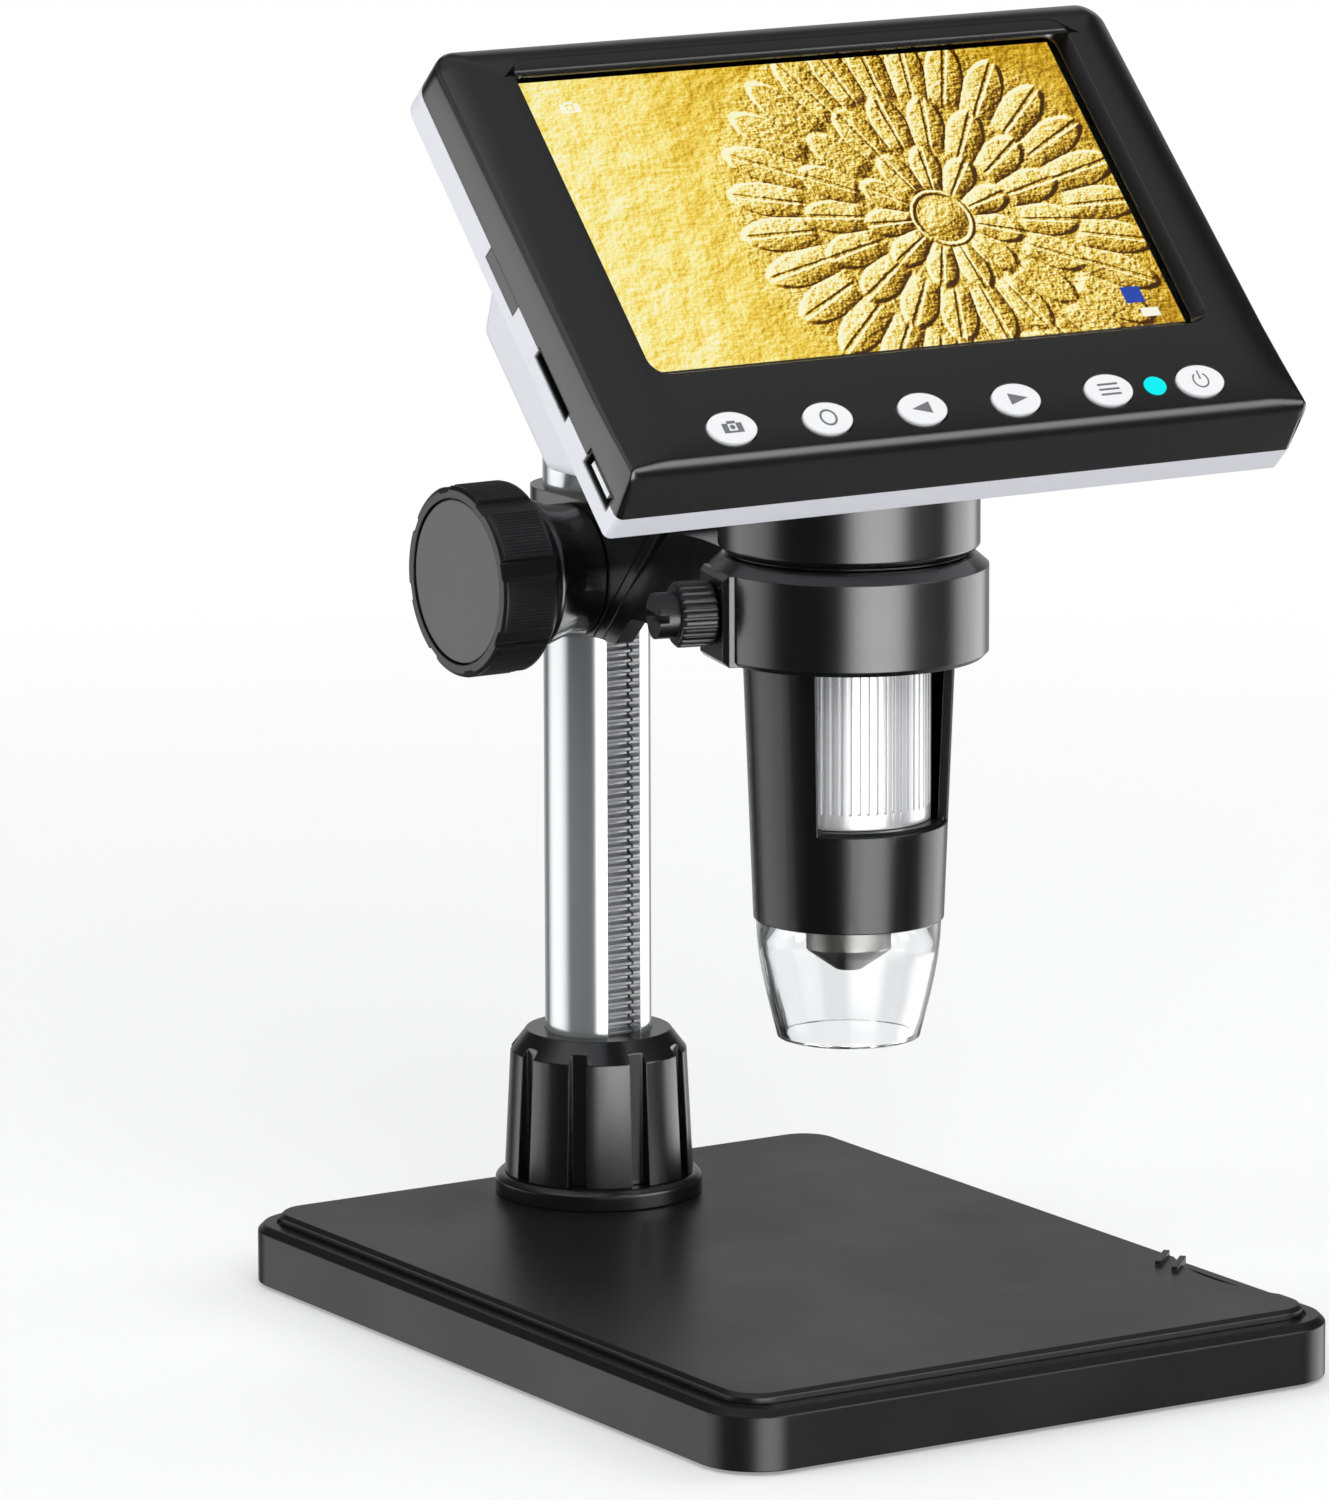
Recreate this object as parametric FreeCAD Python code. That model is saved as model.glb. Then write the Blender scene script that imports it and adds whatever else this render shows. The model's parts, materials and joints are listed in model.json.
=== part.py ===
import FreeCAD, Part
import math
import os

# LCD digital microscope on a rack-and-pinion stand, millimetres.
# Origin: centre of the base on the table; +X right, +Y towards the column, +Z up.

V = FreeCAD.Vector

# Base
BASE_WIDTH = 110.1
BASE_DEPTH = 147.4
BASE_CORNER_R = 9.4
BASE_WALL = 2.4
BASE_FLOOR_GAP = 0.6
BASE_CHAMFER = 1.0
LEDGE_Z = 9.9
DECK_T = 2.5
PANEL_INSET = 3.5
PANEL_T = 1.6
PANEL_EDGE = 0.6
PANEL_GROOVE_W = 0.5
PANEL_GROOVE_DEPTH = 0.6
SCALLOP_Y0 = -61.0
SCALLOP_Y1 = -33.0
SCALLOP_DEPTH = 3.2
RIB_W = 1.0
RIB_LENGTH = 7.4
RIB_RISE = 0.7
RIB_PITCH = 4.4
RIB_START = 2.0
PAD_T = 1.0
PAD_INSET = 7.0
COVER_T = 1.6
COVER_GAP = 0.2
CUT_CLEAR = 5.0
BASE_SCREW_X = 42.0
BASE_SCREW_Y = 60.0
BASE_SCREW_R = 1.5
BASE_SCREW_HEAD_R = 2.8
BASE_SCREW_HEAD_T = 1.2
BASE_SCREW_BITE = 1.2

# Column and rack
COLUMN_Y = 53.7
COLUMN_R = 8.43
COLUMN_TOP = 147.0
SLOT_W = 6.0
SLOT_FLOOR_Y = 51.2
RACK_W = 5.6
RACK_SET_BACK = 3.43
RACK_BOTTOM = 20.0
RACK_TOP_GAP = 1.0
GEAR_MODULE = 0.5
PRESSURE_ANGLE = 20.0
BACKLASH = 0.12
ROOT_FACTOR = 1.25
COLUMN_BOLT_R = 2.4
COLUMN_BOLT_HEAD_R = 4.4
COLUMN_BOLT_HEAD_T = 3.2
COLUMN_BOLT_BITE = 18.0
COLUMN_CAP_T = 1.6
COLUMN_CAP_EDGE = 0.6
COLUMN_CAP_PIN_R = 2.0
COLUMN_CAP_PIN_L = 5.0

# Collar nut round the foot of the column
FLANGE_R = 16.45
FLANGE_T = 3.3
FLANGE_EDGE = 0.8
COLLAR_R_LOW = 15.0
COLLAR_R_HIGH = 14.0
COLLAR_SHOULDER_Z = 34.6
COLLAR_TOP_R = 11.5
COLLAR_TOP_Z = 37.9
COLLAR_PANELS = 9
COLLAR_GROOVE_ANGLE = 11.5
COLLAR_GROOVE_DEPTH = 1.1
COLLAR_GROOVE_AT = 225.0
COLLAR_BORE_GAP = 0.08

# Carriage that slides on the column
CARRIAGE_BOTTOM = 104.0
CARRIAGE_TOP = 125.2
CARRIAGE_HALF_W = 10.4
CARRIAGE_BORE_GAP = 0.06
CHEEK_T = 3.2
CHEEK_ROOF_Z = 108.4
SEAM_Y = 38.1
SEAM_LEAN = 41.3
SHIM_T = 2.35
SHIM_EDGE = 0.3
ARM_BOLT_R = 1.5
ARM_BOLT_HEAD_R = 2.6
ARM_BOLT_HEAD_T = 2.4
ARM_BOLT_X = 4.4
ARM_BOLT_BITE = 7.0
ARM_BOLT_GRIP = 4.0
ARM_BOLT_RISE = 9.5
BOLT_ACCESS = 20.0

# Arm and clamp ring
TUBE_Y = -19.0
ARM_HEIGHT = 19.5
ARM_HALF_W = 8.6
ARM_CHEEK_L = 3.6
ARM_CHEEK_RUN = 4.6
ARM_ROOT_L = 4.0
ARM_NECK_L = 2.0
ARM_WAIST_L = 7.0
RING_R = 21.2
RING_BOTTOM = 109.2
RING_RISE = 1.3
RING_BEVEL_H = 1.7
RING_TOP_R = 19.2
RING_FOOT_EDGE = 0.8
RING_BORE_R = 17.3
BOSS_ANGLE = 166.0
BOSS_REACH = 21.9
BOSS_HALF_W = 6.2
BOSS_EDGE = 0.8
SCREW_Z = 116.7
SCREW_R = 1.5
SCREW_HEAD_R = 5.0
SCREW_HEAD_L = 5.8
SCREW_FLUTES = 24
SCREW_FLUTE_R = 0.35
SCREW_END_R = 3.5
SCREW_END_L = 3.2
SCREW_SLOT_W = 1.2
SCREW_SLOT_DEPTH = 1.4
SCREW_STANDOFF = 0.15
SCREW_TIP_GAP = 0.2
SCREW_HEAD_EDGE = 0.5

# Pinion, shaft and height knob
PINION_Z = 114.0
PINION_TEETH = 20
PINION_W = 4.8
PINION_SIDE_GAP = 0.5
SHAFT_R = 1.9
RUNNING_GAP = 0.05
SEAT_GAP = 0.02
BUSH_R = 3.2
BUSH_L = 4.8
SHAFT_HOLE_R = 2.4
CHAMBER_GAP = 0.8
HUB_R = 12.0
HUB_ROOT_R = 10.4
HUB_LENGTH = 9.8
HUB_TAPER_L = 4.0
HUB_EDGE = 1.0
DRAG_R = 6.0
DRAG_T = 0.8
KNOB_GAP = 0.4
KNOB_L = 11.1
KNOB_R = 14.9
KNOB_RECESS_R = 14.0
KNOB_LOBES = 8
KNOB_LOBE_ANGLE = 32.0
KNOB_LOBE_AT = 8.0
KNOB_LOBE_BLEND = 1.5
KNOB_LOBE_STEP = 4.0
KNOB_EDGE = 1.0
KNOB_CAP_R = 12.65
KNOB_CAP_GAP = 0.35
KNOB_CAP_T = 1.2
KNOB_CAP_SINK = 0.3
INSERT_R = 4.0
INSERT_L = 7.5
RETAINER_R = 4.2
RETAINER_T = 2.4
RETAINER_GAP = 0.2
RETAINER_EDGE = 0.6
SHAFT_END_GAP = 0.5
SHAFT_HOLE_END = 0.4

# Microscope tube
NECK_R = 19.85
NECK_CHAMFER = 1.0
NECK_STEP = 1.5
NECK_BEAD_R = 18.4
NECK_SEAT_GAP = 0.1
NECK_SLEEVE_R = 17.2
NECK_BORE_R = 15.4
BARREL_TOP = 109.3
BARREL_TOP_R = 16.1
BARREL_BOTTOM = 68.6
BARREL_BOTTOM_R = 14.5
BARREL_WALL = 1.6
BARREL_SPIGOT_L = 4.0
WINDOW_BOTTOM = 83.7
WINDOW_HALF_ANGLE = 51.0
WHEEL_R = 12.45
WHEEL_BOTTOM = 84.2
WHEEL_BAND = 2.4
WHEEL_TOP = 111.0
WHEEL_BORE_R = 9.0
WHEEL_FLUTES = 56
WHEEL_FLUTE_DEPTH = 0.55
WHEEL_FLUTE_SHARE = 0.3
BULKHEAD_T = 1.2
SHELF_GAP = 0.2
CELL_BOTTOM = 75.0
CELL_TOP = 101.0
CELL_BORE_R = 5.0
CELL_FOOT_H = 1.2
OBJECTIVE_R = 6.35
OBJECTIVE_SHOULDER_Z = 65.0
OBJECTIVE_TIP_Z = 60.9
OBJECTIVE_TIP_R = 1.9
OBJECTIVE_HOLE_R = 1.2
LENS_T = 1.4
LENS_SEAT_STEP = 1.5
NOSE_BOTTOM = 50.3
NOSE_WALL = 1.5
NOSE_STATIONS = [(14.1, 0.0), (13.6, 6.1), (12.5, 11.7), (11.3, 16.6)]
NOSE_LIP_R = 10.9
NOSE_SPIGOT_L = 2.4
NOSE_STEP = 1.0
LED_BOARD_T = 1.2
LED_BOARD_GAP = 0.2
LED_BOARD_BORE_GAP = 0.4
LED_COUNT = 8
LED_RING_R = 9.6
LED_R = 1.4
LED_T = 1.1
SENSOR_BOARD_Z = 116.0
SENSOR_BOARD_T = 1.4
SENSOR_SIZE = 7.0
SENSOR_T = 1.2
RIBBON_W = 9.0
RIBBON_T = 0.4
RIBBON_TOP = 167.5

# Screen head, in its own plane: u to the right, v up the screen, w out of the screen
HEAD_Y = -21.0
HEAD_Z = 178.6
HEAD_TURN = 45.8
HEAD_HALF_W = 60.0
HEAD_TOP_V = 34.0
HEAD_BOTTOM_V = -48.0
HEAD_CORNER_R = 4.5
HEAD_FOOT_R = 1.2
FRONT_W = 2.2
RIDGE_W = -1.3
RIDGE_W_LOW = 1.2
BEVEL_RUN = 8.0
SEAM_W = -7.0
BACK_W = -11.9
BACK_EDGE = 0.3
HEAD_WALL = 2.2
BEZEL_SKIN_W = -2.4
LIP_ROUND = 1.2
SCREEN_HALF_W = 47.52
SCREEN_HALF_H = 26.93
WINDOW_SIDE_BORDER = 1.98
WINDOW_TOP_BORDER = 1.67
WINDOW_FOOT_BORDER = 2.47
WINDOW_CORNER_R = 3.0
WINDOW_TAPER = 1.2
GLASS_MARGIN = 1.4
GLASS_T = 1.0
GLASS_W = -0.1
PANEL_THICK = 3.0
HUMP_HALF_W = 42.0
HUMP_BACK_W = -44.0
HUMP_TOP_V = 29.0
HUMP_SHOULDER_V = 12.4
HUMP_FLOOR_Z = 138.0
HUMP_WALL = 2.0
HUMP_EDGE_R = 2.5
CABLE_HOLE_R = 13.0
BUTTON_COUNT = 6
BUTTON_FIRST_U = -41.0
BUTTON_PITCH = 16.63
BUTTON_V = -40.2
BUTTON_HALF_W = 4.2
BUTTON_HALF_H = 2.85
BUTTON_PROUD = 0.4
BUTTON_GAP = 0.25
BUTTON_FLANGE = 0.8
BUTTON_FLANGE_T = 0.9
BUTTON_TRAVEL = 0.5
BUTTON_REST_GAP = 0.08
BUTTON_EDGE_R = 0.3
SWITCH_SIZE = 4.0
SWITCH_T = 0.8
PLUNGER_R = 1.1
KEYBOARD_T = 1.0
KEYBOARD_HALF_H = 4.5
KEYBOARD_MARGIN = 5.0
LED_LENS_U = 34.0
LED_LENS_HALF_W = 1.9
LED_LENS_HALF_H = 1.6
LED_LENS_PROUD = 0.15
LED_LENS_GAP = 0.03
BOARD_T = 1.4
BOARD_W = -8.2
BOARD_CARD_GAP = 3.0
BOARD_SIDE_GAP = 10.0
BOARD_V0 = -33.0
BOARD_V1 = 29.0
BATTERY_HALF_W = 28.0
BATTERY_V0 = -10.0
BATTERY_V1 = 8.0
BATTERY_T = 7.5
BATTERY_GAP = 0.1
BATTERY_CORNER_R = 1.5
TAB_V0 = -8.9
TAB_V1 = 2.0
TAB_W = -9.3
TAB_DEPTH = 1.2
TAB_GAP = 0.1
USB_V0 = -45.1
USB_V1 = -36.2
USB_HALF_T = 1.6
USB_W = -7.0
USB_DEPTH = 7.0
USB_SHELL = 0.35
USB_TONGUE_T = 0.7
USB_TONGUE_GAP = 1.0
CARD_V0 = -28.9
CARD_V1 = -17.0
CARD_HALF_T = 1.0
CARD_W = -7.6
CARD_DEPTH = 13.0
CARD_SHELL = 0.3
PORT_GAP = 0.15
PORT_SINK = 0.2
HEAD_SCREW_INSET = 6.0
HEAD_SCREW_V0 = -32.6
HEAD_SCREW_V1 = 26.0
HEAD_SCREW_R = 1.0
HEAD_SCREW_HEAD_R = 2.0
HEAD_SCREW_END_GAP = 0.4
HEAD_SCREW_HEAD_T = 1.4
HEAD_SCREW_BITE = 3.4
HEAD_BOSS_R = 2.6
HEAD_BOSS_LAP = 0.2
HEAD_BOSS_SINK = 0.5
NECK_SCREW_RING_R = 17.4
NECK_SCREW_R = 1.1
NECK_SCREW_HEAD_R = 2.0
NECK_SCREW_HEAD_T = 1.2
NECK_SCREW_BITE = 7.0

# Places that follow from the sizes above
ARM_TOP = CARRIAGE_BOTTOM + ARM_HEIGHT
ARM_BOLT_Z = CARRIAGE_BOTTOM + ARM_BOLT_RISE
RING_TOP = ARM_TOP + RING_RISE
RING_SHOULDER_Z = RING_TOP - RING_BEVEL_H
NECK_CHAMFER_Z = RING_TOP + NECK_STEP
WINDOW_HALF_W = SCREEN_HALF_W + WINDOW_SIDE_BORDER
WINDOW_TOP_V = SCREEN_HALF_H + WINDOW_TOP_BORDER
WINDOW_BOTTOM_V = -SCREEN_HALF_H - WINDOW_FOOT_BORDER
HEAD_SCREW_U = HEAD_HALF_W - HEAD_SCREW_INSET
COVER_TOP = PAD_T + COVER_T
DECK_BOTTOM = LEDGE_Z - DECK_T
STAGE_Z = LEDGE_Z + PANEL_T
FLANGE_TOP = STAGE_Z + FLANGE_T
PITCH = math.pi * GEAR_MODULE
PITCH_R = GEAR_MODULE * PINION_TEETH / 2
SEAM_TAN = math.tan(math.radians(SEAM_LEAN))
SEAM_COS = math.cos(math.radians(SEAM_LEAN))
SEAM_SIN = math.sin(math.radians(SEAM_LEAN))
SHIM_RUN = SHIM_T / SEAM_COS
CHEEK_INNER = CARRIAGE_HALF_W - CHEEK_T
RACK_PITCH_Y = COLUMN_Y - COLUMN_R + RACK_SET_BACK
PINION_Y = RACK_PITCH_Y - PITCH_R
HUB_FACE_X = -CARRIAGE_HALF_W - HUB_LENGTH
KNOB_BACK_X = HUB_FACE_X - KNOB_GAP
KNOB_FACE_X = KNOB_BACK_X - KNOB_L
BORE_HALF = PINION_W / 2 + PINION_SIDE_GAP
CELL_R = WHEEL_BORE_R - RUNNING_GAP
BATTERY_W0 = HUMP_BACK_W + HUMP_WALL + BATTERY_GAP
BATTERY_W1 = BATTERY_W0 + BATTERY_T
LED_BOARD_BOTTOM = BARREL_BOTTOM + NOSE_SPIGOT_L
SPIGOT_R = NECK_BORE_R - SEAT_GAP
SENSOR_BOARD_R = NECK_BORE_R - SEAT_GAP
TURN_COS = math.cos(math.radians(HEAD_TURN))
TURN_SIN = math.sin(math.radians(HEAD_TURN))
SWITCH_TOP_W = BEZEL_SKIN_W - BUTTON_REST_GAP - BUTTON_FLANGE_T - BUTTON_TRAVEL


def disc(radius, bottom, top, x=0.0, y=0.0):
    """Upright cylinder between two heights."""
    return Part.makeCylinder(radius, top - bottom, V(x, y, bottom))


def ring(outer, inner, bottom, top, x=0.0, y=0.0):
    """Upright tube between two heights."""
    reach = top - bottom
    hole = Part.makeCylinder(inner, reach + 2.0, V(x, y, bottom - 1.0))
    return disc(outer, bottom, top, x, y).cut(hole)


def block(x0, x1, y0, y1, z0, z1):
    """Box between two corners."""
    return Part.makeBox(x1 - x0, y1 - y0, z1 - z0, V(x0, y0, z0))


def rod_x(radius, x0, x1, y, z):
    """Cylinder that lies along X."""
    return Part.makeCylinder(radius, x1 - x0, V(x0, y, z), V(1, 0, 0))


def turned(profile, x, y):
    """Solid of revolution about an upright axis from (radius, height) points."""
    points = [V(x + r, y, z) for r, z in profile]
    face = Part.Face(Part.makePolygon(points + points[:1]))
    return face.revolve(V(x, y, 0), V(0, 0, 1), 360)


def turned_x(profile, y, z):
    """Solid of revolution about a lengthwise axis from (x, radius) points."""
    points = [V(x, y + r, z) for x, r in profile]
    face = Part.Face(Part.makePolygon(points + points[:1]))
    return face.revolve(V(0, y, z), V(1, 0, 0), 360)


def side_prism(points, x0, x1):
    """Prism along X of an outline given as (y, z) points."""
    corners = [V(x0, y, z) for y, z in points]
    return Part.Face(Part.makePolygon(corners + corners[:1])).extrude(V(x1 - x0, 0, 0))


def top_prism(points, z0, z1):
    """Prism along Z of an outline given as (x, y) points."""
    corners = [V(x, y, z0) for x, y in points]
    return Part.Face(Part.makePolygon(corners + corners[:1])).extrude(V(0, 0, z1 - z0))


def rounded_wire(x0, x1, y0, y1, radius, z, foot_radius=None):
    """Rounded rectangle in a level plane, with its own radius for the two low corners if given."""
    low = radius if foot_radius is None else foot_radius
    edges = []
    corners = [(x1, y0, -1, 1, low), (x1, y1, -1, -1, radius), (x0, y1, 1, -1, radius), (x0, y0, 1, 1, low)]
    ends = []
    for index, (x, y, sx, sy, radius) in enumerate(corners):
        diagonal = radius * (1 - math.sqrt(0.5))
        along_x = V(x + sx * radius, y, z)
        along_y = V(x, y + sy * radius, z)
        middle = V(x + sx * diagonal, y + sy * diagonal, z)
        first, last = (along_x, along_y) if index % 2 == 0 else (along_y, along_x)
        ends.append((first, middle, last))
    for index, (first, middle, last) in enumerate(ends):
        edges.append(Part.Arc(first, middle, last).toShape())
        edges.append(Part.makeLine(last, ends[(index + 1) % 4][0]))
    return Part.Wire(edges)


def rounded_plate(x0, x1, y0, y1, radius, z0, z1, foot_radius=None):
    """Plate with rounded corners."""
    return Part.Face(rounded_wire(x0, x1, y0, y1, radius, z0, foot_radius)).extrude(V(0, 0, z1 - z0))


def base_plate(inset, z0, z1):
    """Plate of the base's outline, drawn in by an inset."""
    half_x = BASE_WIDTH / 2 - inset
    half_y = BASE_DEPTH / 2 - inset
    radius = max(BASE_CORNER_R - inset, 1.0)
    return rounded_plate(-half_x, half_x, -half_y, half_y, radius, z0, z1)


def ellipse_prism(half_w, half_h, u, v, w0, w1):
    """Elliptical prism in the head's plane."""
    curve = Part.Ellipse(V(u, v, w0), half_w, half_h)
    return Part.Face(Part.Wire(curve.toShape())).extrude(V(0, 0, w1 - w0))


def top_edges(shape, z):
    """Edges of a shape that lie wholly at one height."""
    level = 0.001
    return [e for e in shape.Edges if abs(e.BoundBox.ZMin - z) < level and abs(e.BoundBox.ZMax - z) < level]


def placed_head(shape):
    """Turn a piece from the head's own plane into the object's frame."""
    moved = shape.copy()
    moved.rotate(V(0, 0, 0), V(1, 0, 0), HEAD_TURN)
    moved.translate(V(0, HEAD_Y, HEAD_Z))
    return moved


def into_head(shape):
    """Turn a piece from the object's frame into the head's own plane."""
    moved = shape.copy()
    moved.translate(V(0, -HEAD_Y, -HEAD_Z))
    moved.rotate(V(0, 0, 0), V(1, 0, 0), -HEAD_TURN)
    return moved


def save(name, shape):
    """Write one sub-part."""
    clean = shape.removeSplitter()
    if not clean.isValid():
        clean = shape
    clean.exportStep("parts/" + name + ".step")


def base_screw_places():
    """Places of the four screws under the base."""
    return [(sx * BASE_SCREW_X, sy * BASE_SCREW_Y) for sx in (-1, 1) for sy in (-1, 1)]


def grip_pad():
    """Soft sheet that the object stands on."""
    return base_plate(PAD_INSET, 0.0, PAD_T)


def base_bottom_cover():
    """Plate that closes the base from below."""
    plate = base_plate(BASE_WALL + COVER_GAP, PAD_T, COVER_TOP)
    for x, y in base_screw_places():
        head = disc(BASE_SCREW_HEAD_R + COVER_GAP, PAD_T - 1.0, PAD_T + BASE_SCREW_HEAD_T, x, y)
        shank = disc(BASE_SCREW_R + COVER_GAP, PAD_T, COVER_TOP + 1.0, x, y)
        plate = plate.cut(head).cut(shank)
    return plate


def base_weight():
    """Steel plate that keeps the stand from tipping."""
    plate = base_plate(BASE_WALL + COVER_GAP, COVER_TOP, DECK_BOTTOM)
    for x, y in base_screw_places():
        plate = plate.cut(disc(BASE_SCREW_R + COVER_GAP, COVER_TOP - 1.0, DECK_BOTTOM + 1.0, x, y))
    head = disc(COLUMN_BOLT_HEAD_R + COVER_GAP, COVER_TOP - 1.0, COVER_TOP + COLUMN_BOLT_HEAD_T, 0, COLUMN_Y)
    shank = disc(COLUMN_BOLT_R + COVER_GAP, COVER_TOP, DECK_BOTTOM + 1.0, 0, COLUMN_Y)
    return plate.cut(head).cut(shank)


def base_shell():
    """Moulded base: deck, side walls and the groove round the stage panel."""
    body = base_plate(0.0, BASE_FLOOR_GAP, LEDGE_Z)
    body = body.makeChamfer(BASE_CHAMFER, top_edges(body, LEDGE_Z))
    body = body.cut(base_plate(BASE_WALL, BASE_FLOOR_GAP - 1.0, DECK_BOTTOM))
    groove_z = LEDGE_Z - PANEL_GROOVE_DEPTH
    outer = base_plate(PANEL_INSET - PANEL_GROOVE_W, groove_z, LEDGE_Z + 1.0)
    inner = base_plate(PANEL_INSET, groove_z - 1.0, LEDGE_Z + 2.0)
    body = body.cut(outer.cut(inner))
    for x, y in base_screw_places():
        body = body.cut(disc(BASE_SCREW_R + SEAT_GAP, 0.0, DECK_BOTTOM + BASE_SCREW_BITE + SEAT_GAP, x, y))
    return body.cut(disc(COLUMN_BOLT_R + COVER_GAP, 0.0, LEDGE_Z + 1.0, 0, COLUMN_Y))


def stage_panel():
    """Raised stage plate with the finger scallop on its right edge."""
    plate = base_plate(PANEL_INSET, LEDGE_Z, STAGE_Z)
    edge_x = BASE_WIDTH / 2 - PANEL_INSET
    length = SCALLOP_Y1 - SCALLOP_Y0
    middle_y = (SCALLOP_Y0 + SCALLOP_Y1) / 2
    radius = (length * length / 4 + SCALLOP_DEPTH * SCALLOP_DEPTH) / (2 * SCALLOP_DEPTH)
    centre_x = edge_x - SCALLOP_DEPTH + radius
    plate = plate.cut(disc(radius, LEDGE_Z - 1.0, STAGE_Z + 1.0, centre_x, middle_y))
    plate = plate.makeChamfer(PANEL_EDGE, top_edges(plate, STAGE_Z))
    for index in range(2):
        rib = block(-RIB_LENGTH, 0.0, -RIB_W / 2, RIB_W / 2, STAGE_Z - PANEL_EDGE, STAGE_Z + RIB_RISE)
        rib.rotate(V(0, 0, 0), V(0, 0, 1), 45)
        rib.translate(V(edge_x - PANEL_EDGE, SCALLOP_Y1 + RIB_START - index * RIB_PITCH, 0))
        plate = plate.fuse(rib)
    return plate.cut(disc(COLUMN_BOLT_R + COVER_GAP, 0.0, STAGE_Z + 2.0, 0, COLUMN_Y))


def base_screws():
    """Four screws that hold the bottom cover and weight to the base."""
    solids = []
    for x, y in base_screw_places():
        head = disc(BASE_SCREW_HEAD_R, PAD_T, PAD_T + BASE_SCREW_HEAD_T, x, y)
        solids.append(head.fuse(disc(BASE_SCREW_R, PAD_T, DECK_BOTTOM + BASE_SCREW_BITE, x, y)))
    return Part.makeCompound(solids)


def column_post():
    """Chromed bar with the front slot that carries the rack."""
    post = disc(COLUMN_R, STAGE_Z, COLUMN_TOP, 0, COLUMN_Y)
    post = post.cut(block(-SLOT_W / 2, SLOT_W / 2, COLUMN_Y - 2 * COLUMN_R, SLOT_FLOOR_Y,
                          STAGE_Z - 1.0, COLUMN_TOP + 1.0))
    bolt = disc(COLUMN_BOLT_R + SEAT_GAP, 0.0, STAGE_Z + COLUMN_BOLT_BITE + 1.0, 0, COLUMN_Y)
    pin = disc(COLUMN_CAP_PIN_R + SEAT_GAP, COLUMN_TOP - COLUMN_CAP_PIN_L - 1.0, COLUMN_TOP + 1.0,
               0, COLUMN_Y)
    return post.cut(bolt).cut(pin)


def column_rack():
    """Toothed bar, with a gap between teeth level with the pinion."""
    half = PITCH / 4
    lean = math.tan(math.radians(PRESSURE_ANGLE))
    tip_y = RACK_PITCH_Y - GEAR_MODULE
    root_y = RACK_PITCH_Y + ROOT_FACTOR * GEAR_MODULE
    tip_half = half - GEAR_MODULE * lean
    root_half = half + ROOT_FACTOR * GEAR_MODULE * lean
    first = math.ceil((RACK_BOTTOM - PINION_Z) / PITCH) + 0.5
    top = COLUMN_TOP - RACK_TOP_GAP
    count = int((top - PINION_Z) / PITCH - first)
    points = [(SLOT_FLOOR_Y, RACK_BOTTOM), (root_y, RACK_BOTTOM)]
    for index in range(count):
        z = PINION_Z + (first + index) * PITCH
        points += [(root_y, z - root_half), (tip_y, z - tip_half)]
        points += [(tip_y, z + tip_half), (root_y, z + root_half)]
    points += [(root_y, top), (SLOT_FLOOR_Y, top)]
    return side_prism(points, -RACK_W / 2, RACK_W / 2)


def column_bolt():
    """Bolt from under the base into the column."""
    bottom = COVER_TOP
    head = disc(COLUMN_BOLT_HEAD_R, bottom, bottom + COLUMN_BOLT_HEAD_T, 0, COLUMN_Y)
    return head.fuse(disc(COLUMN_BOLT_R, bottom, STAGE_Z + COLUMN_BOLT_BITE, 0, COLUMN_Y))


def column_cap():
    """Plug on top of the column."""
    cap = disc(COLUMN_R, COLUMN_TOP, COLUMN_TOP + COLUMN_CAP_T, 0, COLUMN_Y)
    cap = cap.makeChamfer(COLUMN_CAP_EDGE, top_edges(cap, COLUMN_TOP + COLUMN_CAP_T))
    return cap.fuse(disc(COLUMN_CAP_PIN_R, COLUMN_TOP - COLUMN_CAP_PIN_L, COLUMN_TOP, 0, COLUMN_Y))


def collar_flange():
    """Washer plate under the collar nut."""
    profile = [(COLUMN_R + COLLAR_BORE_GAP, STAGE_Z), (FLANGE_R, STAGE_Z), (FLANGE_R, FLANGE_TOP - FLANGE_EDGE),
               (FLANGE_R - FLANGE_EDGE, FLANGE_TOP), (COLUMN_R + COLLAR_BORE_GAP, FLANGE_TOP)]
    return turned(profile, 0, COLUMN_Y)


def collar_nut():
    """Grooved hand nut that clamps the foot of the column."""
    bore = COLUMN_R + COLLAR_BORE_GAP
    profile = [(bore, FLANGE_TOP), (COLLAR_R_LOW, FLANGE_TOP), (COLLAR_R_HIGH, COLLAR_SHOULDER_Z),
               (COLLAR_TOP_R, COLLAR_TOP_Z), (bore, COLLAR_TOP_Z)]
    nut = turned(profile, 0, COLUMN_Y)
    half = math.radians(COLLAR_GROOVE_ANGLE / 2)
    inner = COLLAR_R_HIGH - COLLAR_GROOVE_DEPTH
    outer = COLLAR_R_LOW + 2.0
    spread = outer * math.tan(half)
    floor = inner * math.tan(half)
    wedge = top_prism([(inner, -floor), (outer, -spread), (outer, spread), (inner, floor)],
                      FLANGE_TOP - 1.0, COLLAR_TOP_Z + 1.0)
    for index in range(COLLAR_PANELS):
        cutter = wedge.copy()
        cutter.rotate(V(0, 0, 0), V(0, 0, 1), COLLAR_GROOVE_AT + index * 360.0 / COLLAR_PANELS)
        cutter.translate(V(0, COLUMN_Y, 0))
        nut = nut.cut(cutter)
    return nut


def seam_y(z, offset=0.0):
    """Depth of the slanted seam at a height, moved towards the tube by an offset."""
    return SEAM_Y - (z - CARRIAGE_BOTTOM) * SEAM_TAN - offset


def arm_bolt_rod(radius, start, end, x):
    """Cylinder square to the seam, measured from the seam's front face."""
    y = seam_y(ARM_BOLT_Z, SHIM_RUN)
    direction = V(0, SEAM_COS, SEAM_SIN)
    origin = V(x, y + direction.y * start, ARM_BOLT_Z + direction.z * start)
    return Part.makeCylinder(radius, end - start, origin, direction)


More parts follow.
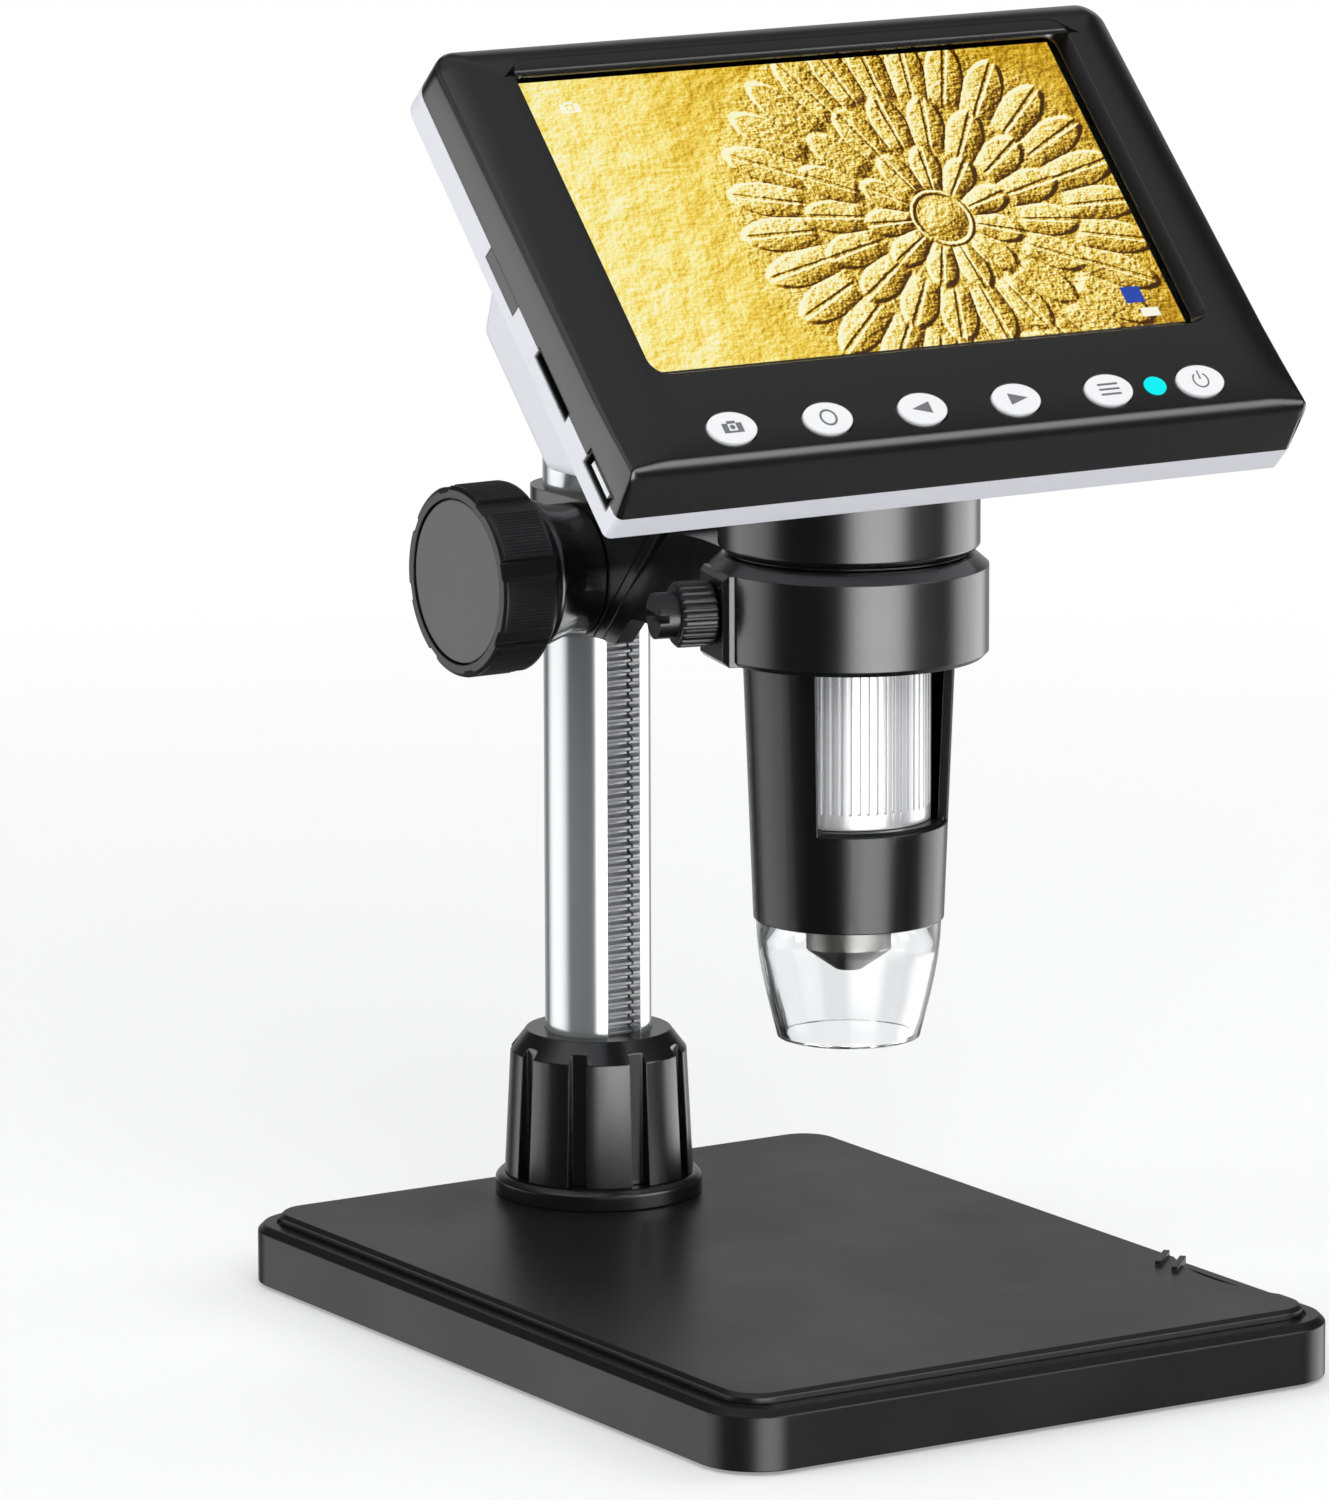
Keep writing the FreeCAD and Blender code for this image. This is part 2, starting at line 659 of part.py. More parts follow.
def carriage_body():
    """Sliding block with its column bore, pinion chamber and cheeks."""
    block_side = [(COLUMN_Y, CARRIAGE_BOTTOM), (seam_y(CARRIAGE_BOTTOM), CARRIAGE_BOTTOM),
                  (seam_y(CARRIAGE_TOP), CARRIAGE_TOP), (COLUMN_Y, CARRIAGE_TOP)]
    body = side_prism(block_side, -CARRIAGE_HALF_W, CARRIAGE_HALF_W)
    body = body.fuse(disc(CARRIAGE_HALF_W, CARRIAGE_BOTTOM, CARRIAGE_TOP, 0, COLUMN_Y))
    body = body.cut(disc(COLUMN_R + CARRIAGE_BORE_GAP, CARRIAGE_BOTTOM - 1, CARRIAGE_TOP + 1, 0, COLUMN_Y))
    body = body.cut(block(-CHEEK_INNER, CHEEK_INNER, seam_y(CARRIAGE_TOP), COLUMN_Y,
                          CARRIAGE_BOTTOM - 1, CHEEK_ROOF_Z))
    chamber_r = PITCH_R + GEAR_MODULE + CHAMBER_GAP
    body = body.cut(rod_x(chamber_r, -BORE_HALF, BORE_HALF, PINION_Y, PINION_Z))
    body = body.cut(block(-BORE_HALF, BORE_HALF, PINION_Y, COLUMN_Y, PINION_Z - chamber_r, PINION_Z + chamber_r))
    body = body.cut(rod_x(SHAFT_HOLE_R, -CARRIAGE_HALF_W - 2, CARRIAGE_HALF_W + 2, PINION_Y, PINION_Z))
    for x0, x1 in bush_spans():
        body = body.cut(rod_x(BUSH_R, x0, x1, PINION_Y, PINION_Z))
    for side in (-1, 1):
        body = body.cut(arm_bolt_rod(ARM_BOLT_R + SEAT_GAP, 0, SHIM_T + ARM_BOLT_BITE + 1, side * ARM_BOLT_X))
    return body


def carriage_shim():
    """Slanted plate between the carriage and the arm."""
    outline = [(seam_y(CARRIAGE_BOTTOM), CARRIAGE_BOTTOM),
               (seam_y(CARRIAGE_BOTTOM, SHIM_RUN), CARRIAGE_BOTTOM),
               (seam_y(ARM_TOP, SHIM_RUN), ARM_TOP), (seam_y(ARM_TOP), ARM_TOP)]
    plate = side_prism(outline, -CARRIAGE_HALF_W, CARRIAGE_HALF_W)
    plate = plate.makeChamfer(SHIM_EDGE, plate.Edges)
    plate = plate.cut(block(-CHEEK_INNER, CHEEK_INNER, seam_y(ARM_TOP, SHIM_RUN), COLUMN_Y,
                            CARRIAGE_BOTTOM - 1, CHEEK_ROOF_Z))
    for side in (-1, 1):
        plate = plate.cut(arm_bolt_rod(ARM_BOLT_R + SEAT_GAP, -1, SHIM_T + 1, side * ARM_BOLT_X))
    return plate


def boss_frame(shape):
    """Turn a piece built along +X out to the clamp boss's direction."""
    moved = shape.copy()
    moved.rotate(V(0, 0, 0), V(0, 0, 1), BOSS_ANGLE)
    moved.translate(V(0, TUBE_Y, 0))
    return moved


def arm_ring():
    """Arm and clamp ring in one casting."""
    root_y = seam_y(CARRIAGE_BOTTOM, SHIM_RUN)
    cheek_y = root_y - ARM_CHEEK_L
    side = [(root_y, CARRIAGE_BOTTOM), (cheek_y, CARRIAGE_BOTTOM),
            (cheek_y - ARM_CHEEK_RUN, CHEEK_ROOF_Z), (TUBE_Y, CHEEK_ROOF_Z),
            (TUBE_Y, ARM_TOP), (seam_y(ARM_TOP, SHIM_RUN), ARM_TOP)]
    arm = side_prism(side, -CARRIAGE_HALF_W, CARRIAGE_HALF_W)
    root = seam_y(CHEEK_ROOF_Z, SHIM_RUN)
    waist = seam_y(ARM_TOP, SHIM_RUN) - ARM_NECK_L
    outline = [(CARRIAGE_HALF_W, root_y + 1), (CARRIAGE_HALF_W, root - ARM_ROOT_L), (ARM_HALF_W, waist),
               (ARM_HALF_W, waist - ARM_WAIST_L), (CARRIAGE_HALF_W, TUBE_Y + RING_BORE_R),
               (CARRIAGE_HALF_W, TUBE_Y)]
    mirrored = [(-x, y) for x, y in reversed(outline)]
    arm = arm.common(top_prism(outline + mirrored, CARRIAGE_BOTTOM, ARM_TOP))
    arm = arm.cut(block(-CHEEK_INNER, CHEEK_INNER, TUBE_Y, COLUMN_Y, CARRIAGE_BOTTOM - 1, CHEEK_ROOF_Z))
    edge = RING_FOOT_EDGE
    hoop = turned([(0, RING_BOTTOM), (RING_R - edge, RING_BOTTOM), (RING_R, RING_BOTTOM + edge),
                   (RING_R, RING_SHOULDER_Z), (RING_TOP_R, RING_TOP), (0, RING_TOP)], 0, TUBE_Y)
    boss = block(0, BOSS_REACH, -BOSS_HALF_W, BOSS_HALF_W, RING_BOTTOM, RING_SHOULDER_Z)
    corners = [e for e in boss.Edges if e.BoundBox.XMin > BOSS_REACH - 0.001]
    boss = boss_frame(boss.makeChamfer(BOSS_EDGE, corners))
    body = arm.fuse(hoop).fuse(boss)
    body = body.cut(disc(RING_BORE_R, RING_BOTTOM - CUT_CLEAR, RING_TOP + CUT_CLEAR, 0, TUBE_Y))
    hole = Part.makeCylinder(SCREW_R + RUNNING_GAP, RING_R + CUT_CLEAR, V(0, 0, SCREW_Z), V(1, 0, 0))
    body = body.cut(boss_frame(hole))
    for side_x in (-1, 1):
        x = side_x * ARM_BOLT_X
        body = body.cut(arm_bolt_rod(ARM_BOLT_R + SEAT_GAP, -ARM_BOLT_GRIP - 1, 1, x))
        access = -ARM_BOLT_GRIP - BOLT_ACCESS
        body = body.cut(arm_bolt_rod(ARM_BOLT_HEAD_R + COVER_GAP, access, -ARM_BOLT_GRIP, x))
    return body


def arm_bolts():
    """Two cap screws from under the arm into the carriage."""
    solids = []
    for side in (-1, 1):
        x = side * ARM_BOLT_X
        head = arm_bolt_rod(ARM_BOLT_HEAD_R, -ARM_BOLT_GRIP - ARM_BOLT_HEAD_T, -ARM_BOLT_GRIP, x)
        solids.append(head.fuse(arm_bolt_rod(ARM_BOLT_R, -ARM_BOLT_GRIP, SHIM_T + ARM_BOLT_BITE, x)))
    return Part.makeCompound(solids)


def thumb_screw():
    """Knurled clamp screw with a slotted end."""
    start = BOSS_REACH + SCREW_STANDOFF
    axis = V(1, 0, 0)
    tip = NECK_SLEEVE_R + SCREW_TIP_GAP
    shank = Part.makeCylinder(SCREW_R, start - tip, V(tip, 0, SCREW_Z), axis)
    head = Part.makeCylinder(SCREW_HEAD_R, SCREW_HEAD_L, V(start, 0, SCREW_Z), axis)
    head = head.makeChamfer(SCREW_HEAD_EDGE, [head.Edges[0], head.Edges[2]])
    for index in range(SCREW_FLUTES):
        turn = 2 * math.pi * index / SCREW_FLUTES
        y = SCREW_HEAD_R * math.cos(turn)
        z = SCREW_Z + SCREW_HEAD_R * math.sin(turn)
        head = head.cut(Part.makeCylinder(SCREW_FLUTE_R, SCREW_HEAD_L + 2, V(start - 1, y, z), axis))
    tail = Part.makeCylinder(SCREW_END_R, SCREW_END_L, V(start + SCREW_HEAD_L, 0, SCREW_Z), axis)
    end = start + SCREW_HEAD_L + SCREW_END_L
    slot = block(end - SCREW_SLOT_DEPTH, end + 1, -SCREW_END_R - 1, SCREW_END_R + 1,
                 SCREW_Z - SCREW_SLOT_W / 2, SCREW_Z + SCREW_SLOT_W / 2)
    return boss_frame(shank.fuse(head).fuse(tail).cut(slot))


def carriage_hub():
    """Round boss between the carriage and the knob."""
    face = HUB_FACE_X
    profile = [(-CARRIAGE_HALF_W, SHAFT_R + RUNNING_GAP), (-CARRIAGE_HALF_W, HUB_ROOT_R),
               (-CARRIAGE_HALF_W - HUB_TAPER_L, HUB_ROOT_R), (face + HUB_EDGE, HUB_R), (face, HUB_R - HUB_EDGE),
               (face, DRAG_R + COVER_GAP), (face + DRAG_T, DRAG_R + COVER_GAP),
               (face + DRAG_T, SHAFT_R + RUNNING_GAP)]
    return turned_x(profile, PINION_Y, PINION_Z)


def drag_washer():
    """Spring washer that gives the knob its drag."""
    outer = rod_x(DRAG_R, HUB_FACE_X, HUB_FACE_X + DRAG_T, PINION_Y, PINION_Z)
    return outer.cut(rod_x(SHAFT_R + RUNNING_GAP, HUB_FACE_X - 1, HUB_FACE_X + DRAG_T + 1, PINION_Y, PINION_Z))


def bush_spans():
    """Lengths of the two bearings along the shaft."""
    return [(-CARRIAGE_HALF_W, BUSH_L - CARRIAGE_HALF_W), (CARRIAGE_HALF_W - BUSH_L, CARRIAGE_HALF_W)]


def shaft_bushes():
    """Two plain bearings for the pinion shaft."""
    solids = []
    for x0, x1 in bush_spans():
        bush = rod_x(BUSH_R, x0, x1, PINION_Y, PINION_Z)
        solids.append(bush.cut(rod_x(SHAFT_R + RUNNING_GAP, x0 - 1, x1 + 1, PINION_Y, PINION_Z)))
    return Part.makeCompound(solids)


def pinion_gear():
    """Spur pinion with involute teeth, one tooth facing the rack."""
    base_r = PITCH_R * math.cos(math.radians(PRESSURE_ANGLE))
    tip_r = PITCH_R + GEAR_MODULE
    root_r = PITCH_R - ROOT_FACTOR * GEAR_MODULE
    half_pitch_angle = (PITCH / 2 - BACKLASH) / 2 / PITCH_R
    angle = math.radians(PRESSURE_ANGLE)
    at_pitch = math.tan(angle) - angle
    steps = 6
    flank = []
    for index in range(steps + 1):
        radius = base_r + (tip_r - base_r) * index / steps
        roll = math.acos(min(1.0, base_r / radius))
        flank.append((radius, half_pitch_angle + at_pitch - (math.tan(roll) - roll)))
    points = []
    for tooth in range(PINION_TEETH):
        centre = 2 * math.pi * tooth / PINION_TEETH
        half_root = flank[0][1]
        rising = [(root_r, centre - half_root)] + [(r, centre - a) for r, a in flank]
        falling = [(r, centre + a) for r, a in reversed(flank)] + [(root_r, centre + half_root)]
        points += rising + falling
    outline = [(PINION_Y + r * math.cos(a), PINION_Z + r * math.sin(a)) for r, a in points]
    gear = side_prism(outline, -PINION_W / 2, PINION_W / 2)
    return gear.cut(rod_x(SHAFT_R + SEAT_GAP, -PINION_W, PINION_W, PINION_Y, PINION_Z))


def pinion_shaft():
    """Steel shaft from the knob to the retainer."""
    return rod_x(SHAFT_R, KNOB_FACE_X + KNOB_CAP_SINK + KNOB_CAP_T + SHAFT_END_GAP,
                 CARRIAGE_HALF_W + RETAINER_GAP + RETAINER_T, PINION_Y, PINION_Z)


def shaft_retainer():
    """Collar on the far end of the shaft."""
    start = CARRIAGE_HALF_W + RETAINER_GAP
    profile = [(start, SHAFT_R + SEAT_GAP), (start, RETAINER_R), (start + RETAINER_T - RETAINER_EDGE, RETAINER_R),
               (start + RETAINER_T, RETAINER_R - RETAINER_EDGE), (start + RETAINER_T, SHAFT_R + SEAT_GAP)]
    return turned_x(profile, PINION_Y, PINION_Z)


def knob_outline():
    """Lobed outline of the knob as (y, z) points round its axis."""
    points = []
    half = KNOB_LOBE_ANGLE / 2
    for lobe in range(KNOB_LOBES):
        centre = KNOB_LOBE_AT + lobe * 360.0 / KNOB_LOBES
        points.append((KNOB_RECESS_R, centre - half - KNOB_LOBE_BLEND))
        steps = int(KNOB_LOBE_ANGLE / KNOB_LOBE_STEP)
        for index in range(steps + 1):
            points.append((KNOB_R, centre - half + KNOB_LOBE_ANGLE * index / steps))
        points.append((KNOB_RECESS_R, centre + half + KNOB_LOBE_BLEND))
    return [(PINION_Y + r * math.cos(math.radians(a)), PINION_Z + r * math.sin(math.radians(a)))
            for r, a in points]


def knob_body():
    """Lobed hand knob with a recess for its face disc."""
    body = side_prism(knob_outline(), KNOB_FACE_X, KNOB_BACK_X)
    edge = KNOB_EDGE
    limits = [(KNOB_FACE_X, 0), (KNOB_FACE_X, KNOB_R - edge * 0.6), (KNOB_FACE_X + edge * 0.6, KNOB_R + 0.2),
              (KNOB_BACK_X - edge * 2, KNOB_R + 0.2), (KNOB_BACK_X, KNOB_R - edge * 2), (KNOB_BACK_X, 0)]
    body = body.common(turned_x(limits, PINION_Y, PINION_Z))
    recess_end = KNOB_FACE_X + KNOB_CAP_SINK + KNOB_CAP_T
    body = body.cut(rod_x(KNOB_CAP_R + KNOB_CAP_GAP, KNOB_FACE_X - 1, recess_end, PINION_Y, PINION_Z))
    body = body.cut(rod_x(INSERT_R, KNOB_BACK_X - INSERT_L, KNOB_BACK_X + 1, PINION_Y, PINION_Z))
    return body.cut(rod_x(SHAFT_R + SEAT_GAP, recess_end + SHAFT_HOLE_END, KNOB_BACK_X, PINION_Y, PINION_Z))


def knob_insert():
    """Brass sleeve moulded into the knob."""
    outer = rod_x(INSERT_R, KNOB_BACK_X - INSERT_L, KNOB_BACK_X, PINION_Y, PINION_Z)
    return outer.cut(rod_x(SHAFT_R + SEAT_GAP, KNOB_FACE_X, KNOB_BACK_X + 1, PINION_Y, PINION_Z))


def knob_cap():
    """Face disc of the knob."""
    x0 = KNOB_FACE_X + KNOB_CAP_SINK
    return rod_x(KNOB_CAP_R, x0, x0 + KNOB_CAP_T, PINION_Y, PINION_Z)


def neck_housing():
    """Round housing between the head and the barrel, seated in the clamp ring."""
    seat = RING_TOP + NECK_SEAT_GAP
    bead = NECK_CHAMFER_Z - NECK_CHAMFER
    profile = [(NECK_BORE_R, BARREL_TOP), (NECK_SLEEVE_R, BARREL_TOP), (NECK_SLEEVE_R, seat),
               (NECK_BEAD_R, seat), (NECK_BEAD_R, bead), (NECK_R - NECK_CHAMFER, bead),
               (NECK_R, NECK_CHAMFER_Z), (NECK_R, HUMP_FLOOR_Z), (NECK_BORE_R, HUMP_FLOOR_Z)]
    body = turned(profile, 0, TUBE_Y)
    for x, y in neck_screw_places():
        body = body.cut(disc(NECK_SCREW_R + SEAT_GAP, HUMP_FLOOR_Z - NECK_SCREW_BITE - 1, HUMP_FLOOR_Z + 1, x, y))
    return body


def neck_screw_places():
    """Places of the four screws that hold the head on the neck."""
    angles = [math.radians(45 + 90 * index) for index in range(4)]
    return [(NECK_SCREW_RING_R * math.cos(a), TUBE_Y + NECK_SCREW_RING_R * math.sin(a)) for a in angles]


def neck_screws():
    """Four screws from inside the head down into the neck."""
    solids = []
    top = HUMP_FLOOR_Z + HUMP_WALL
    for x, y in neck_screw_places():
        shank = disc(NECK_SCREW_R, HUMP_FLOOR_Z - NECK_SCREW_BITE, top, x, y)
        solids.append(shank.fuse(disc(NECK_SCREW_HEAD_R, top, top + NECK_SCREW_HEAD_T, x, y)))
    return Part.makeCompound(solids)


def barrel_radius(z):
    """Outer radius of the tapered barrel at a height."""
    share = (z - BARREL_BOTTOM) / (BARREL_TOP - BARREL_BOTTOM)
    return BARREL_BOTTOM_R + share * (BARREL_TOP_R - BARREL_BOTTOM_R)


def barrel_shell():
    """Tapered barrel with the window over the focus wheel."""
    profile = [(BARREL_BOTTOM_R - BARREL_WALL, BARREL_BOTTOM), (BARREL_BOTTOM_R, BARREL_BOTTOM),
               (BARREL_TOP_R, BARREL_TOP), (SPIGOT_R, BARREL_TOP), (SPIGOT_R, BARREL_TOP + BARREL_SPIGOT_L),
               (BARREL_TOP_R - BARREL_WALL, BARREL_TOP + BARREL_SPIGOT_L),
               (BARREL_TOP_R - BARREL_WALL, BARREL_TOP)]
    shell = turned(profile, 0, TUBE_Y)
    reach = BARREL_TOP_R + 4
    half = math.radians(WINDOW_HALF_ANGLE)
    corners = [(0, TUBE_Y), (-reach * math.sin(half), TUBE_Y - reach * math.cos(half)),
               (0, TUBE_Y - reach / math.cos(half)),
               (reach * math.sin(half), TUBE_Y - reach * math.cos(half))]
    shell = shell.cut(top_prism(corners, WINDOW_BOTTOM, BARREL_TOP))
    seat_z = WHEEL_BOTTOM - RUNNING_GAP - BULKHEAD_T
    bore = CELL_R + RUNNING_GAP + SHELF_GAP
    shelf = ring(barrel_radius(seat_z) - BARREL_WALL / 2, bore, seat_z, seat_z + BULKHEAD_T, 0, TUBE_Y)
    return shell.fuse(shelf)


def focus_wheel():
    """Fluted focus wheel inside the barrel."""
    wheel = ring(WHEEL_R, WHEEL_BORE_R, WHEEL_BOTTOM, WHEEL_TOP, 0, TUBE_Y)
    pitch_angle = 360.0 / WHEEL_FLUTES
    half = math.radians(pitch_angle * WHEEL_FLUTE_SHARE / 2)
    inner = WHEEL_R - WHEEL_FLUTE_DEPTH
    outer = WHEEL_R + 1.0
    bottom = WHEEL_BOTTOM + WHEEL_BAND
    wedge = top_prism([(inner, -inner * math.tan(half)), (outer, -outer * math.tan(half)),
                       (outer, outer * math.tan(half)), (inner, inner * math.tan(half))], bottom, WHEEL_TOP + 1)
    cutters = []
    for index in range(WHEEL_FLUTES):
        cutter = wedge.copy()
        cutter.rotate(V(0, 0, 0), V(0, 0, 1), index * pitch_angle)
        cutter.translate(V(0, TUBE_Y, 0))
        cutters.append(cutter)
    return wheel.cut(Part.makeCompound(cutters))


def lens_cell():
    """Sliding lens tube inside the focus wheel."""
    body = ring(CELL_R, CELL_BORE_R, CELL_BOTTOM, CELL_TOP, 0, TUBE_Y)
    return body.fuse(ring(OBJECTIVE_R, CELL_BORE_R, BARREL_BOTTOM + CELL_FOOT_H, CELL_BOTTOM, 0, TUBE_Y))


def objective_cone():
    """Metal nosepiece with its tapered tip."""
    profile = [(OBJECTIVE_HOLE_R, OBJECTIVE_TIP_Z), (OBJECTIVE_TIP_R, OBJECTIVE_TIP_Z),
               (OBJECTIVE_R, OBJECTIVE_SHOULDER_Z), (OBJECTIVE_R, BARREL_BOTTOM + CELL_FOOT_H),
               (OBJECTIVE_HOLE_R + LENS_SEAT_STEP, BARREL_BOTTOM + CELL_FOOT_H),
               (OBJECTIVE_HOLE_R + LENS_SEAT_STEP, OBJECTIVE_SHOULDER_Z + LENS_T),
               (OBJECTIVE_HOLE_R, OBJECTIVE_SHOULDER_Z + LENS_T)]
    return turned(profile, 0, TUBE_Y)


def objective_lens():
    """Small front lens in the nosepiece."""
    z = OBJECTIVE_SHOULDER_Z + LENS_T
    return disc(OBJECTIVE_HOLE_R + LENS_SEAT_STEP - SEAT_GAP, z, z + LENS_T, 0, TUBE_Y)


def nose_cover():
    """Clear cover round the objective, open below."""
    outer = [(r, BARREL_BOTTOM - drop) for r, drop in NOSE_STATIONS]
    inner = [(r - NOSE_WALL, BARREL_BOTTOM - drop) for r, drop in NOSE_STATIONS]
    spigot_r = BARREL_BOTTOM_R - BARREL_WALL - SEAT_GAP
    spigot_top = BARREL_BOTTOM + NOSE_SPIGOT_L
    profile = outer + [(NOSE_LIP_R, NOSE_BOTTOM), (NOSE_LIP_R - NOSE_WALL, NOSE_BOTTOM)]
    profile += list(reversed(inner[1:])) + [(spigot_r - NOSE_WALL, BARREL_BOTTOM - NOSE_STEP)]
    profile += [(spigot_r - NOSE_WALL, spigot_top), (spigot_r, spigot_top), (spigot_r, BARREL_BOTTOM)]
    return turned(profile, 0, TUBE_Y)


def led_board():
    """Ring board that carries the lamps."""
    outer = BARREL_BOTTOM_R - BARREL_WALL - LED_BOARD_GAP
    return ring(outer, OBJECTIVE_R + LED_BOARD_BORE_GAP, LED_BOARD_BOTTOM, LED_BOARD_BOTTOM + LED_BOARD_T,
                0, TUBE_Y)


def led_lamps():
    """Ring of lamps under the board."""
    solids = []
    for index in range(LED_COUNT):
        turn = 2 * math.pi * index / LED_COUNT
        x = LED_RING_R * math.cos(turn)
        y = TUBE_Y + LED_RING_R * math.sin(turn)
        solids.append(disc(LED_R, LED_BOARD_BOTTOM - LED_T, LED_BOARD_BOTTOM, x, y))
    return Part.makeCompound(solids)


def sensor_board():
    """Image sensor on its round board, above the lens cell."""
    board = disc(SENSOR_BOARD_R, SENSOR_BOARD_Z, SENSOR_BOARD_Z + SENSOR_BOARD_T, 0, TUBE_Y)
    half = SENSOR_SIZE / 2
    chip = block(-half, half, TUBE_Y - half, TUBE_Y + half, SENSOR_BOARD_Z - SENSOR_T, SENSOR_BOARD_Z)
    return board.fuse(chip)


def sensor_ribbon():
    """Flat cable from the sensor board up into the head."""
    return block(-RIBBON_W / 2, RIBBON_W / 2, TUBE_Y - RIBBON_T / 2, TUBE_Y + RIBBON_T / 2,
                 SENSOR_BOARD_Z + SENSOR_BOARD_T, RIBBON_TOP)


def head_plate(inset, w0, w1):
    """Plate of the head's outline in its own plane."""
    radius = max(HEAD_CORNER_R - inset, 1.0)
    foot_radius = max(HEAD_FOOT_R - inset, 0.5)
    return rounded_plate(-HEAD_HALF_W + inset, HEAD_HALF_W - inset, HEAD_BOTTOM_V + inset, HEAD_TOP_V - inset,
                         radius, w0, w1, foot_radius)


def bevel_cutters():
    """Slanted blocks that slope the bezel's sides and top."""
    reach = HEAD_HALF_W * 2
    rise = FRONT_W - RIDGE_W
    top = [(HEAD_TOP_V - BEVEL_RUN, FRONT_W), (HEAD_TOP_V + BEVEL_RUN, FRONT_W - 2 * rise),
           (HEAD_TOP_V + BEVEL_RUN, FRONT_W + CUT_CLEAR), (HEAD_TOP_V - BEVEL_RUN, FRONT_W + CUT_CLEAR)]
    cutters = [side_prism(top, -reach, reach)]
    low_rise = FRONT_W - RIDGE_W_LOW
    for side in (-1, 1):
        wires = []
        for v, drop in ((HEAD_TOP_V + 2, rise), (HEAD_BOTTOM_V - 2, low_rise)):
            inner = side * (HEAD_HALF_W - BEVEL_RUN)
            outer = side * (HEAD_HALF_W + BEVEL_RUN)
            corners = [V(inner, v, FRONT_W), V(outer, v, FRONT_W - 2 * drop), V(outer, v, FRONT_W + CUT_CLEAR),
                       V(inner, v, FRONT_W + CUT_CLEAR)]
            wires.append(Part.makePolygon(corners + corners[:1]))
        cutters.append(Part.makeLoft(wires, True, True))
    return cutters


def button_places():
    """Places of the six buttons along the bezel."""
    return [BUTTON_FIRST_U + index * BUTTON_PITCH for index in range(BUTTON_COUNT)]


def head_screw_places():
    """Places of the four screws that close the head."""
    return [(side * HEAD_SCREW_U, v) for side in (-1, 1) for v in (HEAD_SCREW_V0, HEAD_SCREW_V1)]


def port_cut(v0, v1, half_t, w, depth, gap):
    """Opening for a socket in the head's left side."""
    left = -HEAD_HALF_W
    return block(left - 1, left + depth + gap, v0 - gap, v1 + gap, w - half_t - gap, w + half_t + gap)


def both_ports(shape):
    """Cut the two sockets out of a piece of the head."""
    shape = shape.cut(port_cut(USB_V0, USB_V1, USB_HALF_T, USB_W, USB_DEPTH, PORT_GAP))
    return shape.cut(port_cut(CARD_V0, CARD_V1, CARD_HALF_T, CARD_W, CARD_DEPTH, PORT_GAP))


def tab_block(gap):
    """Black latch tab that laps over the back cover's left edge."""
    left = -HEAD_HALF_W
    return block(left, left + TAB_DEPTH + gap, TAB_V0 - gap, TAB_V1 + gap, TAB_W - gap, SEAM_W)


def front_bezel():
    """Black front frame of the head, with its window and button holes."""
    body = head_plate(0.0, SEAM_W, FRONT_W)
    for cutter in bevel_cutters():
        body = body.cut(cutter)
    lip = [(HEAD_BOTTOM_V, SEAM_W), (HEAD_BOTTOM_V, FRONT_W - LIP_ROUND), (HEAD_BOTTOM_V + LIP_ROUND, FRONT_W),
           (HEAD_BOTTOM_V + LIP_ROUND, FRONT_W + CUT_CLEAR), (HEAD_BOTTOM_V - CUT_CLEAR, FRONT_W + CUT_CLEAR),
           (HEAD_BOTTOM_V - CUT_CLEAR, SEAM_W)]
    body = body.cut(side_prism(lip, -HEAD_HALF_W - 1, HEAD_HALF_W + 1))
    body = body.cut(head_plate(HEAD_WALL, SEAM_W - 1, BEZEL_SKIN_W))
    glass_u = WINDOW_HALF_W + GLASS_MARGIN
    body = body.cut(block(-glass_u, glass_u, WINDOW_BOTTOM_V - GLASS_MARGIN, WINDOW_TOP_V + GLASS_MARGIN,
                          SEAM_W - 1, GLASS_W))
    inner = rounded_wire(-WINDOW_HALF_W + WINDOW_TAPER, WINDOW_HALF_W - WINDOW_TAPER,
                         WINDOW_BOTTOM_V + WINDOW_TAPER, WINDOW_TOP_V - WINDOW_TAPER,
                         WINDOW_CORNER_R - WINDOW_TAPER, GLASS_W - 0.01)
    outer = rounded_wire(-WINDOW_HALF_W, WINDOW_HALF_W, WINDOW_BOTTOM_V, WINDOW_TOP_V, WINDOW_CORNER_R,
                         FRONT_W + 0.01)
    body = body.cut(Part.makeLoft([inner, outer], True, True))
    for u in button_places():
        body = body.cut(ellipse_prism(BUTTON_HALF_W + BUTTON_GAP, BUTTON_HALF_H + BUTTON_GAP, u, BUTTON_V,
                                      SEAM_W, FRONT_W + 2))
    body = body.cut(ellipse_prism(LED_LENS_HALF_W + LED_LENS_GAP, LED_LENS_HALF_H + LED_LENS_GAP, LED_LENS_U,
                                  BUTTON_V, SEAM_W, FRONT_W + 2))
    for u, v in head_screw_places():
        boss = disc(HEAD_BOSS_R, SEAM_W, BEZEL_SKIN_W + HEAD_BOSS_LAP, u, v)
        thread = disc(HEAD_SCREW_R + SEAT_GAP, SEAM_W - 1, SEAM_W + HEAD_SCREW_BITE + HEAD_SCREW_END_GAP, u, v)
        body = body.fuse(boss).cut(thread)
    return both_ports(body.fuse(tab_block(0.0)))


